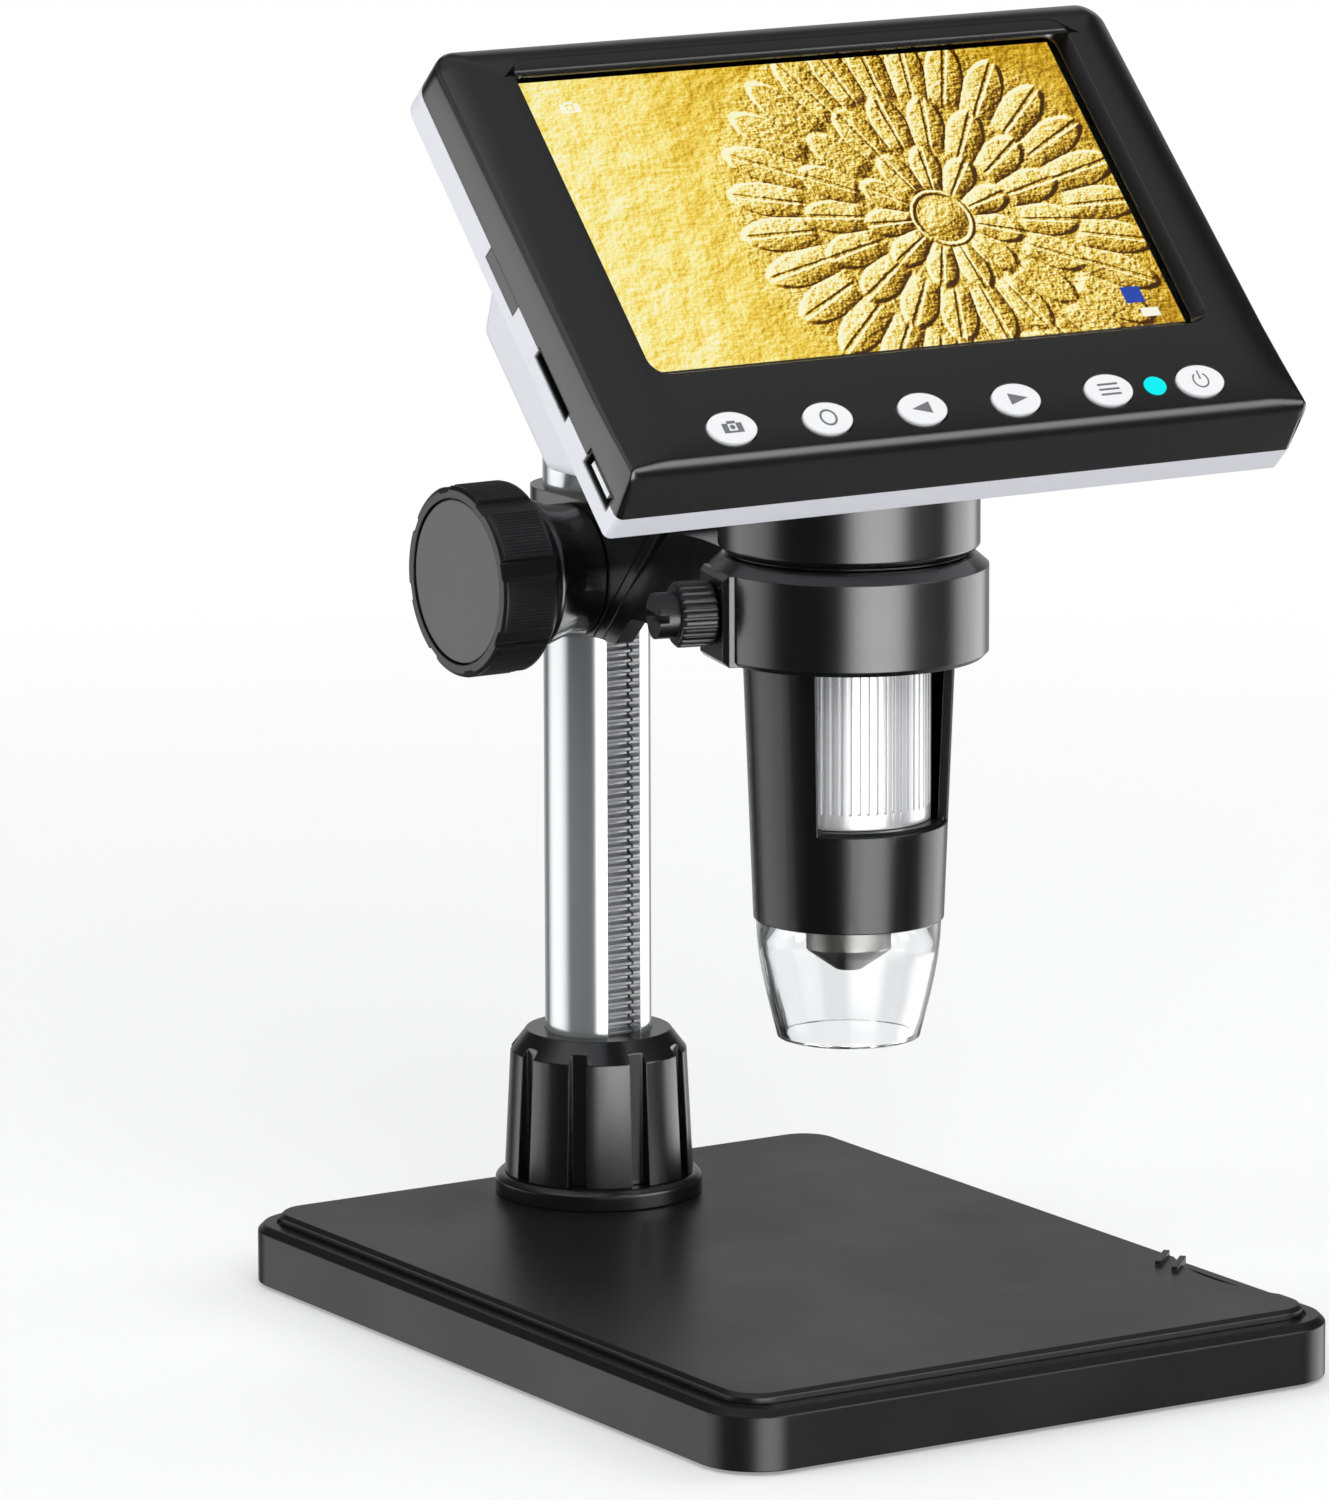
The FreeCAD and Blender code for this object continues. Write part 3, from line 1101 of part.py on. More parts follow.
def hump_outline(inset):
    """Side outline of the housing behind the screen as (v, w) points."""
    def floor_v(w):
        return (HUMP_FLOOR_Z - HEAD_Z - TURN_COS * w) / TURN_SIN
    corners = [(HUMP_TOP_V, BACK_W), (HUMP_SHOULDER_V, HUMP_BACK_W), (floor_v(HUMP_BACK_W), HUMP_BACK_W),
               (floor_v(BACK_W), BACK_W)]
    if inset == 0:
        return corners
    lines = []
    for (v0, w0), (v1, w1) in zip(corners[:3], corners[1:]):
        length = math.hypot(v1 - v0, w1 - w0)
        normal = ((w0 - w1) / length, (v1 - v0) / length)
        shift = (-normal[0] * inset, -normal[1] * inset)
        lines.append(((v0 + shift[0], w0 + shift[1]), (v1 + shift[0], w1 + shift[1])))
    return [meet_w(lines[0], BACK_W + HEAD_WALL + 1), crossing(lines[0], lines[1]), crossing(lines[1], lines[2]),
            meet_w(lines[2], BACK_W + HEAD_WALL + 1)]


def crossing(first, second):
    """Point where two lines in a plane cross."""
    (ax, ay), (bx, by) = first
    (cx, cy), (dx, dy) = second
    det = (bx - ax) * (dy - cy) - (by - ay) * (dx - cx)
    share = ((cx - ax) * (dy - cy) - (cy - ay) * (dx - cx)) / det
    return (ax + share * (bx - ax), ay + share * (by - ay))


def meet_w(line, w):
    """Point of a line at one distance behind the screen."""
    (v0, w0), (v1, w1) = line
    share = (w - w0) / (w1 - w0)
    return (v0 + share * (v1 - v0), w)


def back_cover():
    """Pale back shell with the housing that stands on the tube."""
    plate = head_plate(0.0, BACK_W, SEAM_W)
    plate = plate.makeChamfer(BACK_EDGE, top_edges(plate, BACK_W))
    hump = side_prism(hump_outline(0), -HUMP_HALF_W, HUMP_HALF_W)
    rounded = [e for e in hump.Edges if e.BoundBox.ZMax < BACK_W - 0.01 or e.BoundBox.XLength < 0.01]
    rounded = [e for e in rounded if e.BoundBox.ZMin < BACK_W - 0.01]
    hump = hump.makeFillet(HUMP_EDGE_R, rounded)
    body = plate.fuse(hump)
    body = body.cut(head_plate(HEAD_WALL, BACK_W + HEAD_WALL, SEAM_W + 1))
    body = body.cut(side_prism(hump_outline(HUMP_WALL), -HUMP_HALF_W + HUMP_WALL, HUMP_HALF_W - HUMP_WALL))
    low, high = HUMP_FLOOR_Z - CUT_CLEAR, HUMP_FLOOR_Z + CUT_CLEAR
    body = body.cut(into_head(disc(CABLE_HOLE_R, low, high, 0, TUBE_Y)))
    for x, y in neck_screw_places():
        body = body.cut(into_head(disc(NECK_SCREW_R + SEAT_GAP, low, high, x, y)))
        body = body.cut(into_head(disc(NECK_SCREW_HEAD_R + SEAT_GAP, HUMP_FLOOR_Z + HUMP_WALL,
                                       HUMP_FLOOR_Z + HUMP_WALL + CUT_CLEAR, x, y)))
    for u, v in head_screw_places():
        body = body.fuse(disc(HEAD_BOSS_R, BACK_W + HEAD_BOSS_SINK, SEAM_W, u, v))
        body = body.cut(disc(HEAD_SCREW_R + COVER_GAP, BACK_W - 1, SEAM_W + 1, u, v))
        body = body.cut(disc(HEAD_SCREW_HEAD_R + COVER_GAP, BACK_W - 1, BACK_W + HEAD_SCREW_HEAD_T, u, v))
    return both_ports(body.cut(tab_block(TAB_GAP)))


def head_screws():
    """Four screws from the back cover into the bezel."""
    solids = []
    for u, v in head_screw_places():
        head = disc(HEAD_SCREW_HEAD_R, BACK_W, BACK_W + HEAD_SCREW_HEAD_T, u, v)
        solids.append(head.fuse(disc(HEAD_SCREW_R, BACK_W, SEAM_W + HEAD_SCREW_BITE, u, v)))
    return Part.makeCompound(solids)


def lcd_window():
    """Clear cover glass behind the bezel's window."""
    u = WINDOW_HALF_W + GLASS_MARGIN - PORT_GAP
    margin = GLASS_MARGIN - PORT_GAP
    return block(-u, u, WINDOW_BOTTOM_V - margin, WINDOW_TOP_V + margin, GLASS_W - GLASS_T, GLASS_W)


def lcd_panel():
    """Display module behind the glass."""
    u = WINDOW_HALF_W + GLASS_MARGIN - PORT_GAP
    margin = GLASS_MARGIN - PORT_GAP
    top = GLASS_W - GLASS_T
    return block(-u, u, WINDOW_BOTTOM_V - margin, WINDOW_TOP_V + margin, top - PANEL_THICK, top)


def button_cap(u):
    """Oval push button with its retaining flange."""
    back = BEZEL_SKIN_W - BUTTON_REST_GAP
    cap = ellipse_prism(BUTTON_HALF_W, BUTTON_HALF_H, u, BUTTON_V, back, FRONT_W + BUTTON_PROUD)
    cap = cap.makeFillet(BUTTON_EDGE_R, top_edges(cap, FRONT_W + BUTTON_PROUD))
    flange = ellipse_prism(BUTTON_HALF_W + BUTTON_FLANGE, BUTTON_HALF_H + BUTTON_FLANGE, u, BUTTON_V,
                           back - BUTTON_FLANGE_T, back)
    return cap.fuse(flange)


def status_led_lens():
    """Small oval light pipe beside the buttons."""
    return ellipse_prism(LED_LENS_HALF_W, LED_LENS_HALF_H, LED_LENS_U, BUTTON_V, BEZEL_SKIN_W - 1,
                         FRONT_W + LED_LENS_PROUD)


def key_board():
    """Circuit board under the buttons."""
    top = SWITCH_TOP_W - 2 * SWITCH_T
    places = button_places()
    return block(places[0] - KEYBOARD_MARGIN, places[-1] + KEYBOARD_MARGIN, BUTTON_V - KEYBOARD_HALF_H,
                 BUTTON_V + KEYBOARD_HALF_H, top - KEYBOARD_T, top)


def key_switches():
    """Six small switches, one under each button."""
    base = SWITCH_TOP_W - 2 * SWITCH_T
    half = SWITCH_SIZE / 2
    solids = []
    for u in button_places():
        body = block(u - half, u + half, BUTTON_V - half, BUTTON_V + half, base, base + SWITCH_T)
        solids.append(body.fuse(disc(PLUNGER_R, base, SWITCH_TOP_W - BUTTON_REST_GAP, u, BUTTON_V)))
    return Part.makeCompound(solids)


def main_board():
    """Main circuit board."""
    left = -HEAD_HALF_W + CARD_DEPTH + BOARD_CARD_GAP
    right = HEAD_HALF_W - BOARD_SIDE_GAP
    return block(left, right, BOARD_V0, BOARD_V1, BOARD_W, BOARD_W + BOARD_T)


def battery():
    """Rechargeable pack in the rear housing."""
    return rounded_plate(-BATTERY_HALF_W, BATTERY_HALF_W, BATTERY_V0, BATTERY_V1, BATTERY_CORNER_R,
                         BATTERY_W0, BATTERY_W1)


def usb_port():
    """Metal inlet shell with its tongue."""
    x0 = -HEAD_HALF_W + PORT_SINK
    x1 = -HEAD_HALF_W + USB_DEPTH
    shell = block(x0, x1, USB_V0, USB_V1, USB_W - USB_HALF_T, USB_W + USB_HALF_T)
    wall = USB_SHELL
    shell = shell.cut(block(x0 - 1, x1 - wall, USB_V0 + wall, USB_V1 - wall,
                            USB_W - USB_HALF_T + wall, USB_W + USB_HALF_T - wall))
    side = 2 * wall + USB_TONGUE_GAP
    tongue = block(x0 + USB_TONGUE_GAP, x1, USB_V0 + side, USB_V1 - side, USB_W - USB_TONGUE_T / 2,
                   USB_W + USB_TONGUE_T / 2)
    return shell.fuse(tongue)


def card_slot():
    """Metal memory-card cage."""
    x0 = -HEAD_HALF_W + PORT_SINK
    x1 = -HEAD_HALF_W + CARD_DEPTH
    wall = CARD_SHELL
    cage = block(x0, x1, CARD_V0, CARD_V1, CARD_W - CARD_HALF_T, CARD_W + CARD_HALF_T)
    return cage.cut(block(x0 - 1, x1 - wall, CARD_V0 + wall, CARD_V1 - wall,
                          CARD_W - CARD_HALF_T + wall, CARD_W + CARD_HALF_T - wall))


STAND = [grip_pad, base_bottom_cover, base_weight, base_shell, stage_panel, base_screws, column_post,
         column_rack, column_bolt, column_cap, collar_flange, collar_nut]
CARRIAGE = [carriage_body, carriage_shim, arm_ring, arm_bolts, thumb_screw, carriage_hub, drag_washer,
            shaft_bushes, pinion_gear, pinion_shaft, shaft_retainer, knob_body, knob_insert, knob_cap]
TUBE = [neck_housing, neck_screws, barrel_shell, focus_wheel, lens_cell, objective_cone, objective_lens,
        nose_cover, led_board, led_lamps, sensor_board, sensor_ribbon]
HEAD = [front_bezel, back_cover, head_screws, lcd_window, lcd_panel, status_led_lens, key_board,
        key_switches, main_board, battery, usb_port, card_slot]
BUTTON_NAMES = ["button_capture", "button_confirm", "button_left", "button_right", "button_list", "button_power"]


def build():
    """Make every sub-part and write it."""
    os.makedirs("parts", exist_ok=True)
    for maker in STAND + CARRIAGE + TUBE:
        save(maker.__name__, maker())
    for maker in HEAD:
        save(maker.__name__, placed_head(maker()))
    for name, u in zip(BUTTON_NAMES, button_places()):
        save(name, placed_head(button_cap(u)))


build()
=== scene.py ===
"""Looks of the digital microscope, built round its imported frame.

Sizes are in millimetres and turned into metres where a mesh is made. The head's own plane has u to the
right, v up the screen and w out of the screen.
"""
import json
import logging
import math
from dataclasses import dataclass, field
from enum import Enum
from typing import Iterable, Sequence

import bmesh
import bpy
from mathutils import Matrix, Vector

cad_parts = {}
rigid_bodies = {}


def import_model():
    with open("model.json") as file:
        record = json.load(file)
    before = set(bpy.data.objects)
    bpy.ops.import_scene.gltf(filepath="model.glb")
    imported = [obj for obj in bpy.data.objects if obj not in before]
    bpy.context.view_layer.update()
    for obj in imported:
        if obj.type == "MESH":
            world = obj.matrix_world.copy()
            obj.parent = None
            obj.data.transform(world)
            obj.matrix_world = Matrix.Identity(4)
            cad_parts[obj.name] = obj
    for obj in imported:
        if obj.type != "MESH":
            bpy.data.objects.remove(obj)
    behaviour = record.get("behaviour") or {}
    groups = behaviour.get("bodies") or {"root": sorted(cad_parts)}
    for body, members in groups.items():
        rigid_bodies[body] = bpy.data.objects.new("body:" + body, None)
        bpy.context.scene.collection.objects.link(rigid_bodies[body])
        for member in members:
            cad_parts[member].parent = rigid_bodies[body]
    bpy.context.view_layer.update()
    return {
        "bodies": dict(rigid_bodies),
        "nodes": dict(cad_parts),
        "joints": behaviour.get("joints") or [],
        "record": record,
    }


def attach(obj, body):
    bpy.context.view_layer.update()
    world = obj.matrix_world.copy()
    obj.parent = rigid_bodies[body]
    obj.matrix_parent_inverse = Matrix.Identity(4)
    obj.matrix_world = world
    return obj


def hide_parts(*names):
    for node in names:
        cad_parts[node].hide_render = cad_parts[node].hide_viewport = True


MM = 0.001
WELD_GAP = 0.002
FLAT_ANGLE = 0.4
ROUNDED_ANGLE = 32.0
SOFTENED_ANGLE = 40.0
LOG = logging.getLogger("microscope")
Point = tuple[float, float, float]
Color = tuple[float, float, float]


class Body(str, Enum):
    """Bodies of the frame that pieces ride on."""

    STAND = "stand"
    CARRIAGE = "carriage"
    KNOB = "height_knob"
    SCREW = "clamp_screw"
    MICROSCOPE = "microscope"
    FOCUS = "focus_ring"
    LENS = "lens_group"


class Signal:
    """A number inside a shader tree, with the usual arithmetic."""

    def __init__(self, graph: "Graph", socket: bpy.types.NodeSocket) -> None:
        """Keep the tree and the socket that carries the number."""
        self.graph = graph
        self.socket = socket

    def __add__(self, other: "Signal | float") -> "Signal":
        """Sum."""
        return self.graph.math("ADD", self, other)

    def __sub__(self, other: "Signal | float") -> "Signal":
        """Difference."""
        return self.graph.math("SUBTRACT", self, other)

    def __mul__(self, other: "Signal | float") -> "Signal":
        """Product."""
        return self.graph.math("MULTIPLY", self, other)

    def __truediv__(self, other: "Signal | float") -> "Signal":
        """Quotient."""
        return self.graph.math("DIVIDE", self, other)


class Graph:
    """Short ways of adding nodes to a tree."""

    def __init__(self, tree: bpy.types.NodeTree) -> None:
        """Work on one tree."""
        self.tree = tree

    def node(self, kind: str, inputs: dict | None = None, **settings: object) -> bpy.types.Node:
        """Add a node.

        Args:
            kind: Blender's identifier of the node.
            inputs: values, signals or sockets for its inputs, by name or index.
            settings: attributes of the node.

        Returns:
            The new node.
        """
        made = self.tree.nodes.new(kind)
        for key, value in settings.items():
            setattr(made, key, value)
        for key, value in (inputs or {}).items():
            self.feed(made.inputs[key], value)
        return made

    def feed(self, socket: bpy.types.NodeSocket, value: object) -> None:
        """Set an input socket, or link it."""
        if isinstance(value, Signal):
            value = value.socket
        if isinstance(value, bpy.types.NodeSocket):
            self.tree.links.new(value, socket)
        else:
            socket.default_value = value

    def math(self, operation: str, first: object, second: object = 0.0, third: object = 0.0) -> Signal:
        """Apply a math operation.

        Args:
            operation: name of the operation.
            first: first number.
            second: second number.
            third: third number, where the operation has one.

        Returns:
            The result.
        """
        made = self.tree.nodes.new("ShaderNodeMath")
        made.operation = operation
        for socket, value in zip(made.inputs, (first, second, third)):
            self.feed(socket, value)
        return Signal(self, made.outputs[0])

    def ramp(self, value: Signal, low: float, high: float) -> Signal:
        """Smooth step of a number between two limits."""
        made = self.node("ShaderNodeMapRange", {"Value": value, "From Min": low, "From Max": high},
                         interpolation_type="SMOOTHSTEP")
        return Signal(self, made.outputs["Result"])

    def ray_kinds(self) -> tuple[Signal, Signal]:
        """Masks for rays seen straight or through clear parts, and for rays that met a shiny surface."""
        path = self.node("ShaderNodeLightPath")
        glossy = self.math("GREATER_THAN", path.outputs["Glossy Depth"], 0.5)
        glossy = glossy * Signal(self, path.outputs["Is Glossy Ray"])
        seen = self.math("MAXIMUM", path.outputs["Is Camera Ray"], path.outputs["Is Transmission Ray"])
        return self.math("SUBTRACT", 1.0, glossy) * seen, glossy

    def mix(self, factor: object, first: object, second: object) -> bpy.types.NodeSocket:
        """Mix two colours.

        Args:
            factor: share of the second colour.
            first: colour at zero.
            second: colour at one.

        Returns:
            The colour socket.
        """
        made = self.node("ShaderNodeMix", data_type="RGBA")
        self.feed(made.inputs[0], factor)
        self.feed(made.inputs[6], first)
        self.feed(made.inputs[7], second)
        return made.outputs[2]


def new_group(name: str, inputs: dict[str, tuple[str, float]], outputs: dict[str, str]) -> tuple:
    """Start a shader group with named sockets.

    Args:
        name: the group's name.
        inputs: socket name to kind and default.
        outputs: socket name to kind.

    Returns:
        The group's tree, its graph, its input node and its output node.
    """
    tree = bpy.data.node_groups.new(name, "ShaderNodeTree")
    for label, (kind, default) in inputs.items():
        socket = tree.interface.new_socket(label, in_out="INPUT", socket_type=kind)
        if kind == "NodeSocketFloat":
            socket.default_value = default
    for label, kind in outputs.items():
        tree.interface.new_socket(label, in_out="OUTPUT", socket_type=kind)
    graph = Graph(tree)
    return tree, graph, graph.node("NodeGroupInput"), graph.node("NodeGroupOutput")


def new_material(name: str) -> tuple[bpy.types.Material, Graph, bpy.types.Node]:
    """Start a material with its usual shader.

    Args:
        name: the material's name.

    Returns:
        The material, its graph and its shader node.
    """
    material = bpy.data.materials.new(name)
    material.use_nodes = True
    return material, Graph(material.node_tree), material.node_tree.nodes["Principled BSDF"]


@dataclass(frozen=True)
class PetalRing:
    """A ring of petals in the struck pattern, in millimetres and radians."""

    count: int
    turn: float
    low: float
    high: float
    rise: float


PETAL_RINGS = (PetalRing(11, 0.0, 4.6, 14.0, 1.5), PetalRing(18, 0.28, 12.5, 24.0, 1.4),
               PetalRing(28, 0.1, 22.0, 36.0, 1.3))
FLOWER_PLACE = (14.0, -4.0)
PETAL_POWER = 0.6
PETAL_NOTCH = 0.55
PETAL_START = 2.5
TIP_FALL = (-1.4, 0.2)
VEIN_FROM = 0.985
VEIN_DEPTH = 0.35
BOSS_RADIUS = 4.6
BOSS_RISE = 1.4
WIRE_RADIUS = 4.9
WIRE_WIDTH = 0.5
WIRE_RISE = 0.9
FLAT_SHARE = 0.2
RELIEF_FADE = (30.0, 40.0)
WORN_INSIDE = 1.1
WORN_OUTSIDE = 0.5
WAVE_RISE = 1.5
EDGE_SPAN = (0.02, 0.25)
BUMP_STRENGTH = 0.35
COAT_ROUGHNESS = 0.16
SPREAD_SHARE = 0.35
SPREAD_LEAST = 0.02
CLEAR_SHADE = 0.985
GLOW_SHADE = 0.9


@dataclass
class Effects:
    """Shader groups that several finishes share."""

    grain: bpy.types.NodeTree = field(init=False)
    edges: bpy.types.NodeTree = field(init=False)
    relief: bpy.types.NodeTree = field(init=False)

    def __post_init__(self) -> None:
        """Build each group once."""
        self.grain = self.build_grain()
        self.edges = self.build_edges()
        self.relief = self.build_relief()

    def build_grain(self) -> bpy.types.NodeTree:
        """Moulded or turned surface grain: a height and a mottle mask."""
        sockets = {"Scale": ("NodeSocketFloat", 900.0), "Stretch": ("NodeSocketFloat", 1.0)}
        outputs = {"Height": "NodeSocketFloat", "Mottle": "NodeSocketFloat"}
        tree, graph, source, target = new_group("surface_grain", sockets, outputs)
        place = graph.node("ShaderNodeTexCoord").outputs["Object"]
        stretch = graph.node("ShaderNodeCombineXYZ", {0: 1.0, 1: 1.0, 2: source.outputs["Stretch"]})
        pulled = graph.node("ShaderNodeVectorMath", {0: place, 1: stretch.outputs[0]}, operation="MULTIPLY")
        fine = graph.node("ShaderNodeTexNoise", {"Vector": pulled.outputs[0], "Detail": 3.0,
                                                 "Scale": source.outputs["Scale"], "Roughness": 0.6})
        broad = graph.node("ShaderNodeTexNoise", {"Vector": place, "Scale": 45.0, "Detail": 4.0})
        graph.feed(target.inputs["Height"], fine.outputs["Fac"])
        graph.feed(target.inputs["Mottle"], broad.outputs["Fac"])
        return tree

    def build_edges(self) -> bpy.types.NodeTree:
        """Mask of worn edges with a painted sheen on them, from how far a rounded normal leaves the real
        one.
        """
        tree, graph, source, target = new_group("edge_wear_and_sheen", {"Radius": ("NodeSocketFloat", 0.0004)},
                                                {"Mask": "NodeSocketFloat", "Normal": "NodeSocketVector"})
        rounded = graph.node("ShaderNodeBevel", {"Radius": source.outputs["Radius"]}, samples=4)
        flat = graph.node("ShaderNodeNewGeometry").outputs["Normal"]
        dot = graph.node("ShaderNodeVectorMath", {0: rounded.outputs[0], 1: flat}, operation="DOT_PRODUCT")
        away = graph.math("SUBTRACT", 1.0, dot.outputs["Value"])
        graph.feed(target.inputs["Mask"], graph.ramp(away, *EDGE_SPAN))
        graph.feed(target.inputs["Normal"], rounded.outputs[0])
        return tree

    def build_relief(self) -> bpy.types.NodeTree:
        """Height of the struck-metal pattern shown on the screen, from a place in millimetres."""
        sockets = {"U": ("NodeSocketFloat", 0.0), "V": ("NodeSocketFloat", 0.0)}
        tree, graph, source, target = new_group("struck_relief", sockets, {"Height": "NodeSocketFloat"})
        u = Signal(graph, source.outputs["U"])
        v = Signal(graph, source.outputs["V"])
        du, dv = u - FLOWER_PLACE[0], v - FLOWER_PLACE[1]
        radius = graph.math("SQRT", du * du + dv * dv)
        angle = graph.math("ARCTAN2", dv, du)
        place = graph.node("ShaderNodeCombineXYZ", {0: u, 1: v, 2: 0.0}).outputs[0]
        height = self.dome(graph, radius, BOSS_RADIUS) + self.ridge(graph, radius, WIRE_RADIUS, WIRE_WIDTH)
        for ring in PETAL_RINGS:
            height = height + self.petals(graph, radius, angle + ring.turn, ring)
        pits = graph.node("ShaderNodeTexNoise", {"Vector": place, "Scale": 1.1, "Detail": 8.0,
                                                 "Roughness": 0.72})
        waves = graph.node("ShaderNodeTexNoise", {"Vector": place, "Scale": 0.16, "Detail": 3.0})
        inside = graph.math("SUBTRACT", 1.0, graph.ramp(radius, *RELIEF_FADE))
        worn = Signal(graph, pits.outputs["Fac"]) * (inside * WORN_INSIDE + WORN_OUTSIDE)
        height = height + worn + Signal(graph, waves.outputs["Fac"]) * WAVE_RISE
        graph.feed(target.inputs["Height"], height)
        return tree

    @staticmethod
    def petals(graph: Graph, radius: Signal, angle: Signal, ring: PetalRing) -> Signal:
        """Ring of rounded petals between two radii.

        Args:
            graph: tree to build in.
            radius: distance from the middle.
            angle: angle round the middle.
            ring: the ring's sizes.

        Returns:
            The height.
        """
        wave = graph.math("ABSOLUTE", graph.math("SINE", angle * (ring.count / 2)))
        reach = graph.math("POWER", wave, PETAL_POWER)
        short = graph.math("SUBTRACT", 1.0, reach) * (ring.high - ring.low) * PETAL_NOTCH
        tip = graph.math("SUBTRACT", ring.high, short)
        begun = graph.ramp(radius, ring.low, ring.low + PETAL_START)
        inside = begun * graph.math("SUBTRACT", 1.0, graph.ramp(radius - tip, *TIP_FALL))
        vein = graph.ramp(reach, VEIN_FROM, 1.0) * VEIN_DEPTH
        return inside * (reach - vein) * ring.rise

    @staticmethod
    def dome(graph: Graph, radius: Signal, reach: float) -> Signal:
        """Rounded boss in the middle."""
        return graph.math("SUBTRACT", 1.0, graph.ramp(radius, reach * FLAT_SHARE, reach)) * BOSS_RISE

    @staticmethod
    def ridge(graph: Graph, radius: Signal, place: float, width: float) -> Signal:
        """Round wire at one radius."""
        away = graph.math("ABSOLUTE", radius - place)
        return graph.math("SUBTRACT", 1.0, graph.ramp(away, width * FLAT_SHARE, width)) * WIRE_RISE


@dataclass(frozen=True)
class Finish:
    """An opaque surface with grain, mottle and soft edges, whose edges are lightened partly by wear and
    partly by a painted sheen.
    """

    name: str
    color: Color
    roughness: float
    metallic: float = 0.0
    coat: float = 0.0
    grain: float = 900.0
    stretch: float = 1.0
    depth: float = 0.02
    mottle: float = 0.12
    # Share and colour of the edge lightening: real wear together with a painted sheen.
    wear: float = 0.10
    wear_color: Color = (0.35, 0.35, 0.37)
    edge: float = 0.25
    specular: float = 0.5

    def build(self, effects: Effects) -> bpy.types.Material:
        """Make the material.

        Args:
            effects: shared shader groups.

        Returns:
            The material.
        """
        material, graph, shader = new_material(self.name)
        grain = graph.node("ShaderNodeGroup", node_tree=effects.grain)
        grain.inputs["Scale"].default_value = self.grain
        grain.inputs["Stretch"].default_value = self.stretch
        edges = graph.node("ShaderNodeGroup", node_tree=effects.edges)
        edges.inputs["Radius"].default_value = self.edge * MM
        low = tuple(c * (1 - self.mottle) for c in self.color) + (1.0,)
        high = tuple(min(1.0, c * (1 + self.mottle)) for c in self.color) + (1.0,)
        base = graph.mix(grain.outputs["Mottle"], low, high)
        # The edge mask lightens every edge: partly real wear, partly a painted highlight.
        worn = graph.math("MULTIPLY", edges.outputs["Mask"], self.wear)
        base = graph.mix(worn, base, self.wear_color + (1.0,))
        graph.feed(shader.inputs["Base Color"], base)
        spread = graph.math("SUBTRACT", grain.outputs["Mottle"], 0.5)
        rough = graph.math("MULTIPLY_ADD", spread, SPREAD_SHARE * self.roughness + SPREAD_LEAST,
                           self.roughness)
        graph.feed(shader.inputs["Roughness"], rough)
        bump = graph.node("ShaderNodeBump", {"Height": grain.outputs["Height"],
                                             "Normal": edges.outputs["Normal"],
                                             "Strength": BUMP_STRENGTH, "Distance": self.depth * MM})
        graph.feed(shader.inputs["Normal"], bump.outputs[0])
        shader.inputs["Metallic"].default_value = self.metallic
        shader.inputs["Specular IOR Level"].default_value = self.specular
        shader.inputs["Coat Weight"].default_value = self.coat
        shader.inputs["Coat Roughness"].default_value = COAT_ROUGHNESS
        material.diffuse_color = self.color + (1.0,)
        return material


@dataclass(frozen=True)
class ClearFinish:
    """Clear moulded plastic or glass."""

    name: str
    tint: Color
    roughness: float
    ior: float

    def build(self, effects: Effects) -> bpy.types.Material:
        """Make the material.

        Args:
            effects: shared shader groups.

        Returns:
            The material.
        """
        material, graph, shader = new_material(self.name)
        grain = graph.node("ShaderNodeGroup", node_tree=effects.grain)
        grain.inputs["Scale"].default_value = 120.0
        rough = graph.math("MULTIPLY_ADD", grain.outputs["Mottle"], self.roughness, self.roughness * 0.5)
        graph.feed(shader.inputs["Roughness"], rough)
        low = tuple(c * CLEAR_SHADE for c in self.tint) + (1.0,)
        graph.feed(shader.inputs["Base Color"], graph.mix(grain.outputs["Mottle"], low, self.tint + (1.0,)))
        shader.inputs["Transmission Weight"].default_value = 1.0
        shader.inputs["IOR"].default_value = self.ior
        return material


@dataclass(frozen=True)
class GlowFinish:
    """A lit surface, such as a lamp or a picture sign."""

    name: str
    color: Color
    strength: float

    def build(self, effects: Effects) -> bpy.types.Material:
        """Make the material.

        Args:
            effects: shared shader groups.

        Returns:
            The material.
        """
        material, graph, shader = new_material(self.name)
        grain = graph.node("ShaderNodeGroup", node_tree=effects.grain)
        low = tuple(c * GLOW_SHADE for c in self.color) + (1.0,)
        glow = graph.mix(grain.outputs["Mottle"], low, self.color + (1.0,))
        graph.feed(shader.inputs["Emission Color"], glow)
        shader.inputs["Base Color"].default_value = (0.0, 0.0, 0.0, 1.0)
        shader.inputs["Specular IOR Level"].default_value = 0.2
        shader.inputs["Emission Strength"].default_value = self.strength
        shader.inputs["Roughness"].default_value = 0.3
        return material


